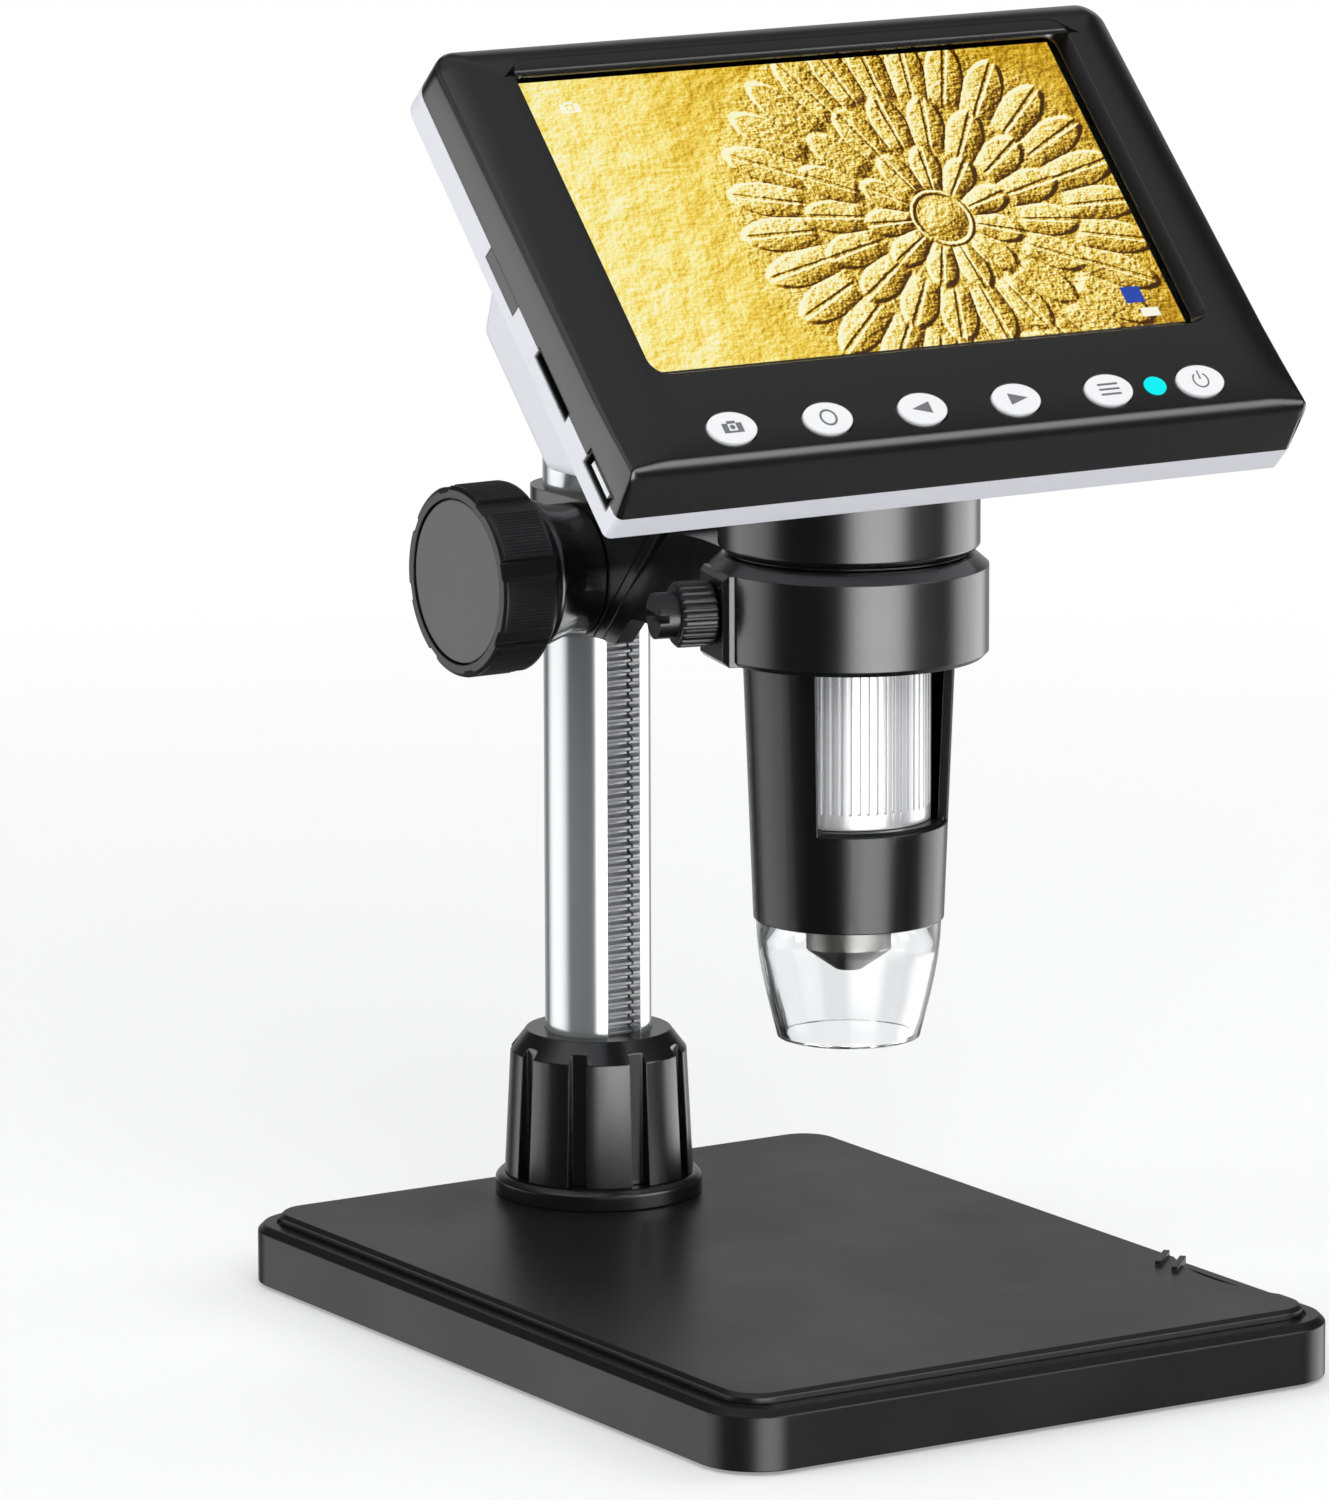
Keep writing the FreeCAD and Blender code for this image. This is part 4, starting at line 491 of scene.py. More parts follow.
@dataclass(frozen=True)
class PictureFinish:
    """The lit picture on the screen: struck gold metal under a glancing lamp."""

    name: str
    half_w: float
    half_h: float
    light_step: float = 0.22
    slope_gain: float = 2.1
    middle_tone: float = 0.56
    middle_height: float = 2.2
    height_gain: float = 0.07
    pale_from: float = -46.0
    pale_to: float = 2.0
    pale_gain: float = 0.34
    glow: float = 0.95
    stops: tuple[tuple[float, Color], ...] = (
        (0.0, (0.06, 0.022, 0.001)), (0.25, (0.24, 0.10, 0.003)), (0.45, (0.60, 0.34, 0.012)),
        (0.62, (0.90, 0.62, 0.06)), (0.80, (1.0, 0.86, 0.26)), (1.0, (1.0, 0.97, 0.66)))

    def build(self, effects: Effects) -> bpy.types.Material:
        """Make the material.

        Args:
            effects: shared shader groups.

        Returns:
            The material.
        """
        material, graph, shader = new_material(self.name)
        uv = graph.node("ShaderNodeUVMap", uv_map="picture").outputs[0]
        parts = graph.node("ShaderNodeSeparateXYZ", {0: uv})
        u = graph.math("MULTIPLY_ADD", parts.outputs[0], 2 * self.half_w, -self.half_w)
        v = graph.math("MULTIPLY_ADD", parts.outputs[1], 2 * self.half_h, -self.half_h)
        here = self.height(graph, effects, u, v)
        beside = self.height(graph, effects, u - self.light_step, v + self.light_step)
        tone = (here - beside) * self.slope_gain + self.middle_tone
        pale = graph.math("SUBTRACT", 1.0, graph.ramp(u, self.pale_from, self.pale_to))
        tone = tone + (here - self.middle_height) * self.height_gain + pale * self.pale_gain
        ramp = graph.node("ShaderNodeValToRGB", {0: tone})
        elements = ramp.color_ramp.elements
        while len(elements) < len(self.stops):
            elements.new(0.5)
        for element, (place, color) in zip(elements, self.stops):
            element.position = place
            element.color = color + (1.0,)
        graph.feed(shader.inputs["Emission Color"], ramp.outputs[0])
        shader.inputs["Emission Strength"].default_value = self.glow
        shader.inputs["Base Color"].default_value = (0.0, 0.0, 0.0, 1.0)
        shader.inputs["Roughness"].default_value = 0.4
        shader.inputs["Specular IOR Level"].default_value = 0.1
        return material

    @staticmethod
    def height(graph: Graph, effects: Effects, u: Signal, v: Signal) -> Signal:
        """Height of the relief at a place."""
        made = graph.node("ShaderNodeGroup", node_tree=effects.relief)
        graph.feed(made.inputs["U"], u)
        graph.feed(made.inputs["V"], v)
        return Signal(graph, made.outputs["Height"])


@dataclass
class Wardrobe:
    """Every finish of the object, built once."""

    effects: Effects
    made: dict[str, bpy.types.Material] = field(default_factory=dict)

    def __post_init__(self) -> None:
        """Build the materials."""
        black = (0.004, 0.004, 0.0042)
        finishes = [
            Finish("gloss_black", black, 0.25, coat=0.5, depth=0.004, wear=0.03, specular=1.0),
            Finish("barrel_black", black, 0.26, coat=0.25, depth=0.004, wear=0.03, specular=0.55),
            Finish("bezel_black", black, 0.22, coat=0.4, depth=0.006, wear=0.02, specular=1.0),
            Finish("bezel_side", black, 0.34, depth=0.006, wear=0.02, specular=0.25),
            Finish("base_black", (0.008, 0.008, 0.0085), 0.30, depth=0.012, grain=1400.0, wear=0.04,
                   specular=0.5),
            Finish("stage_black", (0.006, 0.006, 0.0065), 0.34, depth=0.02, grain=2200.0, wear=0.06,
                   specular=0.9),
            Finish("knob_black", (0.005, 0.005, 0.0053), 0.33, depth=0.02, grain=1600.0, wear=0.03,
                   specular=0.9),
            Finish("knob_disc", (0.13, 0.13, 0.132), 0.55, depth=0.03, grain=2400.0, wear=0.05),
            Finish("shell_pale", (0.76, 0.76, 0.81), 0.42, depth=0.02, grain=1800.0, mottle=0.02,
                   wear_color=(0.84, 0.84, 0.88), wear=0.1),
            Finish("button_pale", (0.80, 0.80, 0.81), 0.25, coat=0.3, depth=0.006, mottle=0.02,
                   wear_color=(0.9, 0.9, 0.9)),
            Finish("mark_grey", (0.16, 0.16, 0.17), 0.5, depth=0.004),
            Finish("chrome", (0.82, 0.83, 0.84), 0.16, metallic=0.78, depth=0.003, stretch=0.02, grain=700.0,
                   mottle=0.02, wear=0.0),
            # The strongly lightened edges of the rack and the silver parts are mostly a painted highlight.
            Finish("rack_steel", (0.60, 0.60, 0.61), 0.30, metallic=0.7, depth=0.02, mottle=0.08,
                   wear_color=(0.85, 0.85, 0.86), wear=0.7, edge=0.12),
            Finish("silver", (0.82, 0.82, 0.83), 0.24, metallic=0.45, depth=0.01, stretch=0.05, mottle=0.03,
                   wear_color=(0.95, 0.95, 0.95), wear=0.4, edge=0.2),
            Finish("turned_metal", (0.38, 0.375, 0.365), 0.36, metallic=1.0, depth=0.02, stretch=8.0,
                   grain=500.0, mottle=0.06),
            Finish("fastener_steel", (0.55, 0.55, 0.57), 0.3, metallic=0.9, depth=0.01),
            Finish("brass", (0.72, 0.52, 0.24), 0.3, metallic=0.9, depth=0.01),
            Finish("pad_rubber", (0.012, 0.012, 0.012), 0.8, depth=0.06, grain=1500.0),
            Finish("board_mask", (0.02, 0.12, 0.06), 0.35, coat=0.2, depth=0.01),
            Finish("film", (0.62, 0.38, 0.10), 0.35, depth=0.01),
            Finish("wrap", (0.12, 0.15, 0.20), 0.4, depth=0.02),
            ClearFinish("clear_nose", (0.97, 0.975, 0.98), 0.02, 1.45),
            ClearFinish("screen_glass", (1.0, 1.0, 1.0), 0.01, 1.12),
            ClearFinish("lens_glass", (0.80, 0.88, 1.0), 0.01, 1.5),
            GlowFinish("cyan_glow", (0.004, 0.93, 0.95), 1.0),
            GlowFinish("lamp_glow", (1.0, 0.99, 0.96), 6.0),
            GlowFinish("sign_white", (1.0, 0.98, 0.82), 1.0),
            GlowFinish("sign_blue", (0.015, 0.06, 0.42), 1.0),
        ]
        for finish in finishes:
            self.made[finish.name] = finish.build(self.effects)
        picture = PictureFinish("screen_picture", Display.active_half_w, Display.active_half_h)
        self.made["screen_picture"] = picture.build(self.effects)

    def __getitem__(self, name: str) -> bpy.types.Material:
        """Look a material up."""
        return self.made[name]


class Workshop:
    """Makes, places and dresses pieces."""

    def __init__(self, frame: dict, wardrobe: Wardrobe) -> None:
        """Keep the frame and the finishes."""
        self.frame = frame
        self.wardrobe = wardrobe

    def finish_piece(self, name: str, mesh: bpy.types.Mesh, body: str, slot: str, materials: Sequence[str],
                     replaces: Iterable[str] = ()) -> bpy.types.Object:
        """Make a mesh a piece of the object.

        Args:
            name: the piece's name.
            mesh: its mesh, in metres in the object's frame.
            body: body that it rides on.
            slot: the record's material slot; not used.
            materials: names of its materials.
            replaces: frame nodes that it stands for.

        Returns:
            The object.
        """
        mesh.name = name
        mesh.materials.clear()
        for material in materials:
            mesh.materials.append(self.wardrobe[material])
        made = bpy.data.objects.new(name, mesh)
        bpy.context.scene.collection.objects.link(made)
        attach(made, str(getattr(body, "value", body)))
        nodes = list(replaces)
        if nodes:
            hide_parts(*nodes)
        LOG.info("%s: %d faces on %s", name, len(mesh.polygons), body)
        return made

    def dress(self, node: str, material: str) -> None:
        """Give a frame node its finish."""
        mesh = self.frame["nodes"][node].data
        mesh.materials.clear()
        mesh.materials.append(self.wardrobe[material])

    def dress_all(self, finishes: dict[str, Sequence[str]]) -> None:
        """Give frame nodes their finishes.

        Args:
            finishes: the nodes, by the name of their material.
        """
        for material, nodes in finishes.items():
            for node in nodes:
                self.dress(node, material)

    def softened(self, node: str, body: str, slot: str, material: str, width: float,
                 segments: int = 3) -> bpy.types.Object:
        """Copy a node's shape with rounded edges and let the copy stand for it.

        Args:
            node: the frame node.
            body: body that it rides on.
            slot: the record's material slot.
            material: name of its material.
            width: width of the rounding, in millimetres.
            segments: faces across the rounding.

        Returns:
            The object.
        """
        work = bmesh.new()
        work.from_mesh(self.frame["nodes"][node].data)
        bmesh.ops.remove_doubles(work, verts=work.verts, dist=WELD_GAP * MM)
        bmesh.ops.dissolve_limit(work, angle_limit=math.radians(FLAT_ANGLE), verts=work.verts,
                                 edges=work.edges)
        mesh = bpy.data.meshes.new(node + "_soft")
        work.to_mesh(mesh)
        work.free()
        helper = bpy.data.objects.new(node + "_helper", mesh)
        bpy.context.scene.collection.objects.link(helper)
        rounding = helper.modifiers.new("rounding", "BEVEL")
        rounding.width = width * MM
        rounding.segments = segments
        rounding.limit_method = "ANGLE"
        rounding.angle_limit = math.radians(ROUNDED_ANGLE)
        rounding.use_clamp_overlap = True
        result = evaluated_mesh(helper)
        smooth(result, SOFTENED_ANGLE)
        return self.finish_piece(node + "_piece", even_normals(result), body, slot, [material], [node])


def evaluated_mesh(helper: bpy.types.Object) -> bpy.types.Mesh:
    """Turn an object with modifiers into a plain mesh and remove the object.

    Args:
        helper: the object.

    Returns:
        Its final mesh.
    """
    bpy.context.view_layer.update()
    graph = bpy.context.evaluated_depsgraph_get()
    mesh = bpy.data.meshes.new_from_object(helper.evaluated_get(graph))
    bpy.data.objects.remove(helper)
    return mesh


def even_normals(mesh: bpy.types.Mesh) -> bpy.types.Mesh:
    """Let the large faces of a smooth mesh lead its shading."""
    helper = bpy.data.objects.new("even_helper", mesh)
    bpy.context.scene.collection.objects.link(helper)
    step = helper.modifiers.new("even", "WEIGHTED_NORMAL")
    step.keep_sharp = True
    return evaluated_mesh(helper)


def smooth(mesh: bpy.types.Mesh, angle: float) -> None:
    """Shade a mesh smooth, with creases over an angle in degrees."""
    mesh.shade_smooth()
    mesh.set_sharp_from_angle(angle=math.radians(angle))


def mesh_from(name: str, work: bmesh.types.BMesh, angle: float = 35.0) -> bpy.types.Mesh:
    """Turn mesh work in millimetres into a mesh in metres, with its faces outwards.

    Args:
        name: the mesh's name.
        work: the mesh work.
        angle: crease angle in degrees.

    Returns:
        The mesh.
    """
    bmesh.ops.recalc_face_normals(work, faces=work.faces)
    bmesh.ops.scale(work, vec=(MM, MM, MM), verts=work.verts)
    mesh = bpy.data.meshes.new(name)
    work.to_mesh(mesh)
    work.free()
    smooth(mesh, angle)
    return mesh


def loft(work: bmesh.types.BMesh, rings: Sequence[Sequence[Point]], closed: bool = False) -> None:
    """Join rings of equal point count with faces, and close the end rings.

    Args:
        work: mesh work to add to.
        rings: the rings, in order.
        closed: whether the last ring joins the first instead.
    """
    rows = [[work.verts.new(point) for point in ring] for ring in rings]
    count = len(rows[0])
    pairs = list(zip(rows, rows[1:]))
    if closed:
        pairs.append((rows[-1], rows[0]))
    for low, high in pairs:
        for index in range(count):
            other = (index + 1) % count
            work.faces.new((low[index], low[other], high[other], high[index]))
    if not closed:
        work.faces.new(list(reversed(rows[0])))
        work.faces.new(rows[-1])


def rounded_outline(left: float, right: float, low: float, high: float, radii: Sequence[float],
                    steps: int = 8) -> list[tuple[float, float]]:
    """Rounded rectangle with a radius for each corner.

    Args:
        left: lowest u.
        right: highest u.
        low: lowest v.
        high: highest v.
        radii: corner radii, from the lower right one anticlockwise.
        steps: faces in each corner.

    Returns:
        The points, anticlockwise, the same number for any size.
    """
    corners = [(right, low, -90), (right, high, 0), (left, high, 90), (left, low, 180)]
    signs = [(-1, 1), (-1, -1), (1, -1), (1, 1)]
    points = []
    for (u, v, start), (su, sv), radius in zip(corners, signs, radii):
        for index in range(steps + 1):
            turn = math.radians(start + 90 * index / steps)
            points.append((u + su * radius + radius * math.cos(turn),
                           v + sv * radius + radius * math.sin(turn)))
    return subdivided(points, steps + 1, 10)


def subdivided(points: list, corner: int, parts: int) -> list:
    """Add points along the four straight sides of a rounded outline."""
    result = []
    count = len(points)
    for index, point in enumerate(points):
        result.append(point)
        if index % corner == corner - 1:
            after = points[(index + 1) % count]
            for part in range(1, parts):
                share = part / parts
                result.append((point[0] + share * (after[0] - point[0]),
                               point[1] + share * (after[1] - point[1])))
    return result


def ellipse(u: float, v: float, half_w: float, half_h: float, count: int = 48) -> list[tuple[float, float]]:
    """Points of an ellipse."""
    turns = [2 * math.pi * index / count for index in range(count)]
    return [(u + half_w * math.cos(t), v + half_h * math.sin(t)) for t in turns]


def cut(base: bpy.types.Mesh, cutters: Sequence[bpy.types.Mesh]) -> bpy.types.Mesh:
    """Cut closed shapes out of a mesh.

    Args:
        base: the mesh.
        cutters: the shapes to take away.

    Returns:
        The result.
    """
    helper = bpy.data.objects.new("cut_base", base)
    bpy.context.scene.collection.objects.link(helper)
    tools = []
    for index, mesh in enumerate(cutters):
        tool = bpy.data.objects.new(f"cut_tool_{index}", mesh)
        bpy.context.scene.collection.objects.link(tool)
        tools.append(tool)
        step = helper.modifiers.new(f"cut_{index}", "BOOLEAN")
        step.operation = "DIFFERENCE"
        step.solver = "EXACT"
        step.object = tool
    result = evaluated_mesh(helper)
    for tool in tools:
        bpy.data.objects.remove(tool)
    return result


@dataclass(frozen=True)
class HeadFrame:
    """The head's own plane in the object's frame."""

    y: float = -21.0
    z: float = 178.6
    turn: float = 45.8

    def place(self, u: float, v: float, w: float) -> Point:
        """Point of the object's frame, in millimetres."""
        sine, cosine = math.sin(math.radians(self.turn)), math.cos(math.radians(self.turn))
        return (u, self.y + v * cosine - w * sine, self.z + v * sine + w * cosine)

    def rise(self, place: Vector) -> float:
        """Distance up the screen of a point, in millimetres."""
        sine, cosine = math.sin(math.radians(self.turn)), math.cos(math.radians(self.turn))
        return (place.y - self.y) * cosine + (place.z - self.z) * sine

    def ring(self, outline: Sequence[tuple[float, float]], w: float) -> list[Point]:
        """Outline lifted to one distance from the screen."""
        return [self.place(u, v, w) for u, v in outline]

    def prism(self, outline: Sequence[tuple[float, float]], low: float, high: float) -> bpy.types.Mesh:
        """Closed prism of an outline between two distances."""
        work = bmesh.new()
        loft(work, [self.ring(outline, low), self.ring(outline, high)])
        return mesh_from("prism", work)


@dataclass
class Bezel:
    """Black front frame of the head."""

    head: HeadFrame
    half_w: float = 60.0
    top: float = 34.0
    lip: float = -46.6
    foot: float = -48.0
    seam: float = -7.0
    front: float = 2.2
    ridge_top: float = -1.3
    ridge_kink: float = 0.3
    ridge_lip: float = 1.5
    kink: float = -33.6
    run: float = 8.0
    wall: float = 2.2
    corner_top: float = 4.5
    corner_low: float = 1.2
    corner_front: float = 4.2
    fold: float = 4.0
    window: tuple[float, float, float, float] = (-49.5, 49.5, -29.4, 28.6)
    window_taper: float = 1.2
    window_round: tuple[tuple[float, float], ...] = ((-0.5, 0.0), (-0.15, 0.06), (0.05, 0.3))
    glass: float = -0.1
    seat_depth: float = 0.4
    seat_width: float = 2.2
    skin: float = -2.4
    glass_gap: float = 0.02
    corner_least: float = 0.8
    window_corner: float = 3.0
    window_corner_least: float = 0.6
    seam_step: float = 0.3
    seam_lift: float = 0.05
    edge_round: tuple[tuple[float, float, float], ...] = ((0.0, 0.7, 0.85), (0.1, 0.25, 0.95))
    edge: float = 0.4
    edge_start: float = 0.02
    edge_rise: float = 0.06
    dome_power: float = 2.1
    dome_steps: int = 14

    def outline(self, inset: float, lift: float = 0.0) -> list[tuple[float, float]]:
        """Outer outline drawn in by an inset; lift draws in the foot alone."""
        low_r = self.corner_low + (self.corner_front - self.corner_low) * min(inset / 2.0, 1.0)
        top_r = max(self.corner_top - inset, self.corner_least)
        return rounded_outline(-self.half_w + inset, self.half_w - inset, self.foot + inset + lift,
                               self.top - inset, (low_r, top_r, top_r, low_r))

    def ridge(self, v: float) -> float:
        """Height of the side ridge at a place up the head."""
        if v > self.kink:
            share = (v - self.kink) / (self.top - self.kink)
            return self.ridge_kink + share * (self.ridge_top - self.ridge_kink)
        share = min(1.0, (self.kink - v) / (self.kink - self.lip))
        return self.ridge_kink + share * (self.ridge_lip - self.ridge_kink)

    def front_ring(self, inset: float, share: float, drop: float, lift: float) -> list[Point]:
        """Ring of the domed front.

        Args:
            inset: distance in from the outer outline.
            share: how far up from the ridge to the front face.
            drop: distance below that.
            lift: how far the lower edge is drawn in.

        Returns:
            The ring.
        """
        points = []
        for u, v in self.outline(inset, lift):
            ridge = self.ridge(v)
            short = self.fold - min(max(v - self.lip, 0.0), self.fold)
            fall = self.fold - math.sqrt(self.fold ** 2 - short ** 2)
            w = min(ridge + share * (self.front - ridge), self.front - fall) - drop
            points.append(self.head.place(u, v, w))
        return points

    def window_outline(self, inset: float) -> list[tuple[float, float]]:
        """Window outline drawn in by an inset."""
        left, right, low, high = self.window
        radius = max(self.window_corner - inset, self.window_corner_least)
        return rounded_outline(left + inset, right - inset, low + inset, high - inset, (radius,) * 4)

    def body(self) -> bpy.types.Mesh:
        """Closed shell: side, dome, window edge and inside."""
        lift = self.lip - self.foot
        rings = [self.head.ring(self.outline(0.0), self.seam)]
        rings.append(self.head.ring(self.outline(0.0, self.seam_lift * lift), self.seam + self.seam_step))
        for inset, back, share in self.edge_round:
            rings.append(self.front_ring(inset, 0.0, back, share * lift))
        rings.append(self.front_ring(self.edge, self.edge_start, 0.0, lift))
        for index in range(1, self.dome_steps + 1):
            share = (index / self.dome_steps) ** 1.5
            rise = 1 - (1 - share) ** self.dome_power
            rings.append(self.front_ring(self.edge + share * (self.run - self.edge),
                                         self.edge_rise + (1 - self.edge_rise) * rise, 0.0,
                                         lift * (1 - share)))
        for inset, drop in self.window_round:
            rings.append(self.head.ring(self.window_outline(inset), self.front - drop))
        seat = self.glass - self.seat_depth
        rings.append(self.head.ring(self.window_outline(self.window_taper), self.glass + self.glass_gap))
        rings.append(self.head.ring(self.window_outline(self.window_taper), seat))
        rings.append(self.head.ring(self.window_outline(-self.seat_width), seat))
        rings.append(self.head.ring(self.window_outline(-self.seat_width), self.skin))
        rings.append(self.head.ring(self.outline(self.wall + 1.0), self.skin))
        rings.append(self.head.ring(self.outline(self.wall), self.skin - 1.0))
        rings.append(self.head.ring(self.outline(self.wall), self.seam))
        work = bmesh.new()
        loft(work, rings, closed=True)
        return mesh_from("bezel", work)


@dataclass
class Display:
    """Display module with its lit picture."""

    head: HeadFrame
    active_half_w: float = 47.52
    active_half_h: float = 26.93
    frame_half_w: float = 50.7
    frame_low: float = -30.6
    frame_high: float = 29.8
    frame_corner: float = 0.6
    top: float = -1.3
    back: float = -4.1
    picture_gap: float = 0.03

    def module(self) -> bpy.types.Mesh:
        """Black module behind the glass."""
        outline = rounded_outline(-self.frame_half_w, self.frame_half_w, self.frame_low, self.frame_high,
                                  (self.frame_corner,) * 4, 3)
        return self.head.prism(outline, self.back, self.top)

    def picture(self) -> bpy.types.Mesh:
        """Thin lit plate with its own map."""
        w0, w1 = self.top + self.picture_gap, self.top + 2 * self.picture_gap
        corners = [(-1, -1), (1, -1), (1, 1), (-1, 1)]
        outline = [(su * self.active_half_w, sv * self.active_half_h) for su, sv in corners]
        mesh = self.head.prism(outline, w0, w1)
        layer = mesh.uv_layers.new(name="picture")
        for loop in mesh.loops:
            place = mesh.vertices[loop.vertex_index].co / MM
            layer.data[loop.index].uv = (0.5 + place.x / (2 * self.active_half_w),
                                         0.5 + self.head.rise(place) / (2 * self.active_half_h))
        return mesh


@dataclass(frozen=True)
class Camera:
    """Camera that matches the photograph's view."""

    place: Point = (-805.15, -1254.56, 377.49)
    heading: float = 0.5586
    pitch: float = 0.1897
    roll: float = -0.0027
    lens: float = 237.84

    def build(self) -> None:
        """Add the camera and use it."""
        data = bpy.data.cameras.new("view")
        data.sensor_width = 36.0
        data.lens = self.lens
        data.clip_start = 0.05
        data.clip_end = 50.0
        forward = Vector((math.sin(self.heading) * math.cos(self.pitch),
                          math.cos(self.heading) * math.cos(self.pitch), -math.sin(self.pitch)))
        right = Vector((math.cos(self.heading), -math.sin(self.heading), 0.0))
        up = right.cross(forward)
        level, tilt = math.cos(self.roll), math.sin(self.roll)
        side = right * level + up * tilt
        top = up * level - right * tilt
        camera = bpy.data.objects.new("view", data)
        matrix = Matrix((side, top, -forward)).transposed().to_4x4()
        matrix.translation = Vector(self.place) * MM
        camera.matrix_world = matrix
        bpy.context.scene.collection.objects.link(camera)
        bpy.context.scene.camera = camera


@dataclass(frozen=True)
class Lamp:
    """A soft area lamp aimed at the object."""

    name: str
    heading: float
    rise: float
    distance: float
    size: float
    power: float
    target: Point = (0.0, 0.0, 100.0)

    def build(self) -> None:
        """Add the lamp."""
        data = bpy.data.lights.new(self.name, "AREA")
        data.shape = "DISK"
        data.size = self.size * MM
        data.energy = self.power
        lamp = bpy.data.objects.new(self.name, data)
        turn, lift = math.radians(self.heading), math.radians(self.rise)
        reach = Vector((math.cos(turn) * math.cos(lift), math.sin(turn) * math.cos(lift), math.sin(lift)))
        lamp.location = (Vector(self.target) + reach * self.distance) * MM
        lamp.rotation_euler = (-reach).to_track_quat("-Z", "Y").to_euler()
        lamp.visible_glossy = False
        bpy.context.scene.collection.objects.link(lamp)


@dataclass(frozen=True)
class Strip:
    """A tall soft light in the surround, seen in reflections."""

    heading: float
    inner: float
    outer: float
    strength: float
    low: float = -0.64
    high: float = 0.64
    soft: float = 0.14


@dataclass
class Studio:
    """Pale floor, soft lamps and a white surround."""

    floor_half: float = 4000.0
    floor_white: float = 0.30
    fade_start: float = 200.0
    fade_end: float = 700.0
    fill: float = 0.55
    dim: float = 0.035
    top_span: tuple[float, float] = (0.52, 0.92)
    top: float = 0.24
    strips: tuple[Strip, ...] = (Strip(-98.0, 2.0, 33.0, 4.2, high=0.02, soft=0.08),
                                 Strip(139.0, 2.0, 38.0, 1.25, high=0.02, soft=0.08),
                                 Strip(-1.0, 8.0, 34.0, 2.2, high=-0.08, soft=0.06),
                                 Strip(-60.0, 4.0, 26.0, 2.4, low=-0.04, high=0.48),
                                 Strip(-158.0, 8.0, 62.0, 0.5, low=0.55, high=0.86, soft=0.08),
                                 Strip(-20.0, 20.0, 80.0, 0.16, low=-2.0, high=-0.50),
                                 Strip(60.0, 4.0, 38.0, 0.40, low=-2.0, high=0.42))

    def build(self) -> None:
        """Add floor, lamps and world."""
        self.floor()
        self.world()
        lamps = [Lamp("key_lamp", heading=-104.0, rise=38.0, distance=1100.0, size=700.0, power=4.6),
                 Lamp("left_lamp", heading=-195.0, rise=30.0, distance=1100.0, size=600.0, power=3.4),
                 Lamp("right_lamp", heading=-10.0, rise=35.0, distance=1100.0, size=600.0, power=2.6),
                 Lamp("top_lamp", heading=60.0, rise=75.0, distance=1000.0, size=700.0, power=2.2)]
        for lamp in lamps:
            lamp.build()
        bpy.context.scene.view_settings.view_transform = "Standard"

    def floor(self) -> None:
        """Add the pale floor, which fades to white far out and lets reflections see the surround."""
        work = bmesh.new()
        half = self.floor_half * MM
        corners = [work.verts.new((sx * half, sy * half, 0.0))
                   for sx, sy in ((-1, -1), (1, -1), (1, 1), (-1, 1))]
        work.faces.new(corners)
        mesh = bpy.data.meshes.new("floor")
        work.to_mesh(mesh)
        work.free()
        floor = bpy.data.objects.new("floor", mesh)
        bpy.context.scene.collection.objects.link(floor)
        material, graph, shader = new_material("floor_white")
        output = material.node_tree.nodes["Material Output"]
        shader.inputs["Base Color"].default_value = (0.86, 0.86, 0.87, 1.0)
        shader.inputs["Roughness"].default_value = 0.9
        shader.inputs["Specular IOR Level"].default_value = 0.0
        place = graph.node("ShaderNodeTexCoord").outputs["Object"]
        distance = graph.node("ShaderNodeVectorMath", {0: place}, operation="LENGTH").outputs["Value"]
        far = graph.ramp(Signal(graph, distance), self.fade_start * MM, self.fade_end * MM)
        seen, glossy = graph.ray_kinds()
        share = seen * (far * (1.0 - self.floor_white) + self.floor_white)
        white = graph.node("ShaderNodeEmission", {"Color": (1.0, 1.0, 1.0, 1.0), "Strength": 1.0})
        lit = graph.node("ShaderNodeMixShader", {0: share, 1: shader.outputs[0], 2: white.outputs[0]})
        clear = graph.node("ShaderNodeBsdfTransparent")
        mixed = graph.node("ShaderNodeMixShader", {0: glossy, 1: lit.outputs[0], 2: clear.outputs[0]})
        graph.feed(output.inputs["Surface"], mixed.outputs[0])
        mesh.materials.append(material)

    def world(self) -> None:
        """White for the camera, an even fill for light, and soft strips for reflections."""
        world = bpy.data.worlds.new("surround")
        world.use_nodes = True
        bpy.context.scene.world = world
        graph = Graph(world.node_tree)
        fill = world.node_tree.nodes["Background"]
        output = world.node_tree.nodes["World Output"]
        direction = graph.node("ShaderNodeTexCoord").outputs["Generated"]
        parts = graph.node("ShaderNodeSeparateXYZ", {0: direction})
        up = Signal(graph, parts.outputs[2])
        turn = graph.math("ARCTAN2", parts.outputs[1], parts.outputs[0])
        total = graph.ramp(up, *self.top_span) * self.top + self.dim
        for strip in self.strips:
            total = total + self.band(graph, turn, up, strip)
        fill.inputs["Color"].default_value = (1.0, 1.0, 1.0, 1.0)
        fill.inputs["Strength"].default_value = self.fill
        banded = graph.node("ShaderNodeBackground", {"Color": (1.0, 1.0, 1.0, 1.0), "Strength": total})
        white = graph.node("ShaderNodeBackground", {"Color": (1.0, 1.0, 1.0, 1.0), "Strength": 1.0})
        seen, glossy = graph.ray_kinds()
        around = graph.node("ShaderNodeMixShader", {0: glossy, 1: fill.outputs[0], 2: banded.outputs[0]})
        mixed = graph.node("ShaderNodeMixShader", {0: seen, 1: around.outputs[0], 2: white.outputs[0]})
        graph.feed(output.inputs["Surface"], mixed.outputs[0])

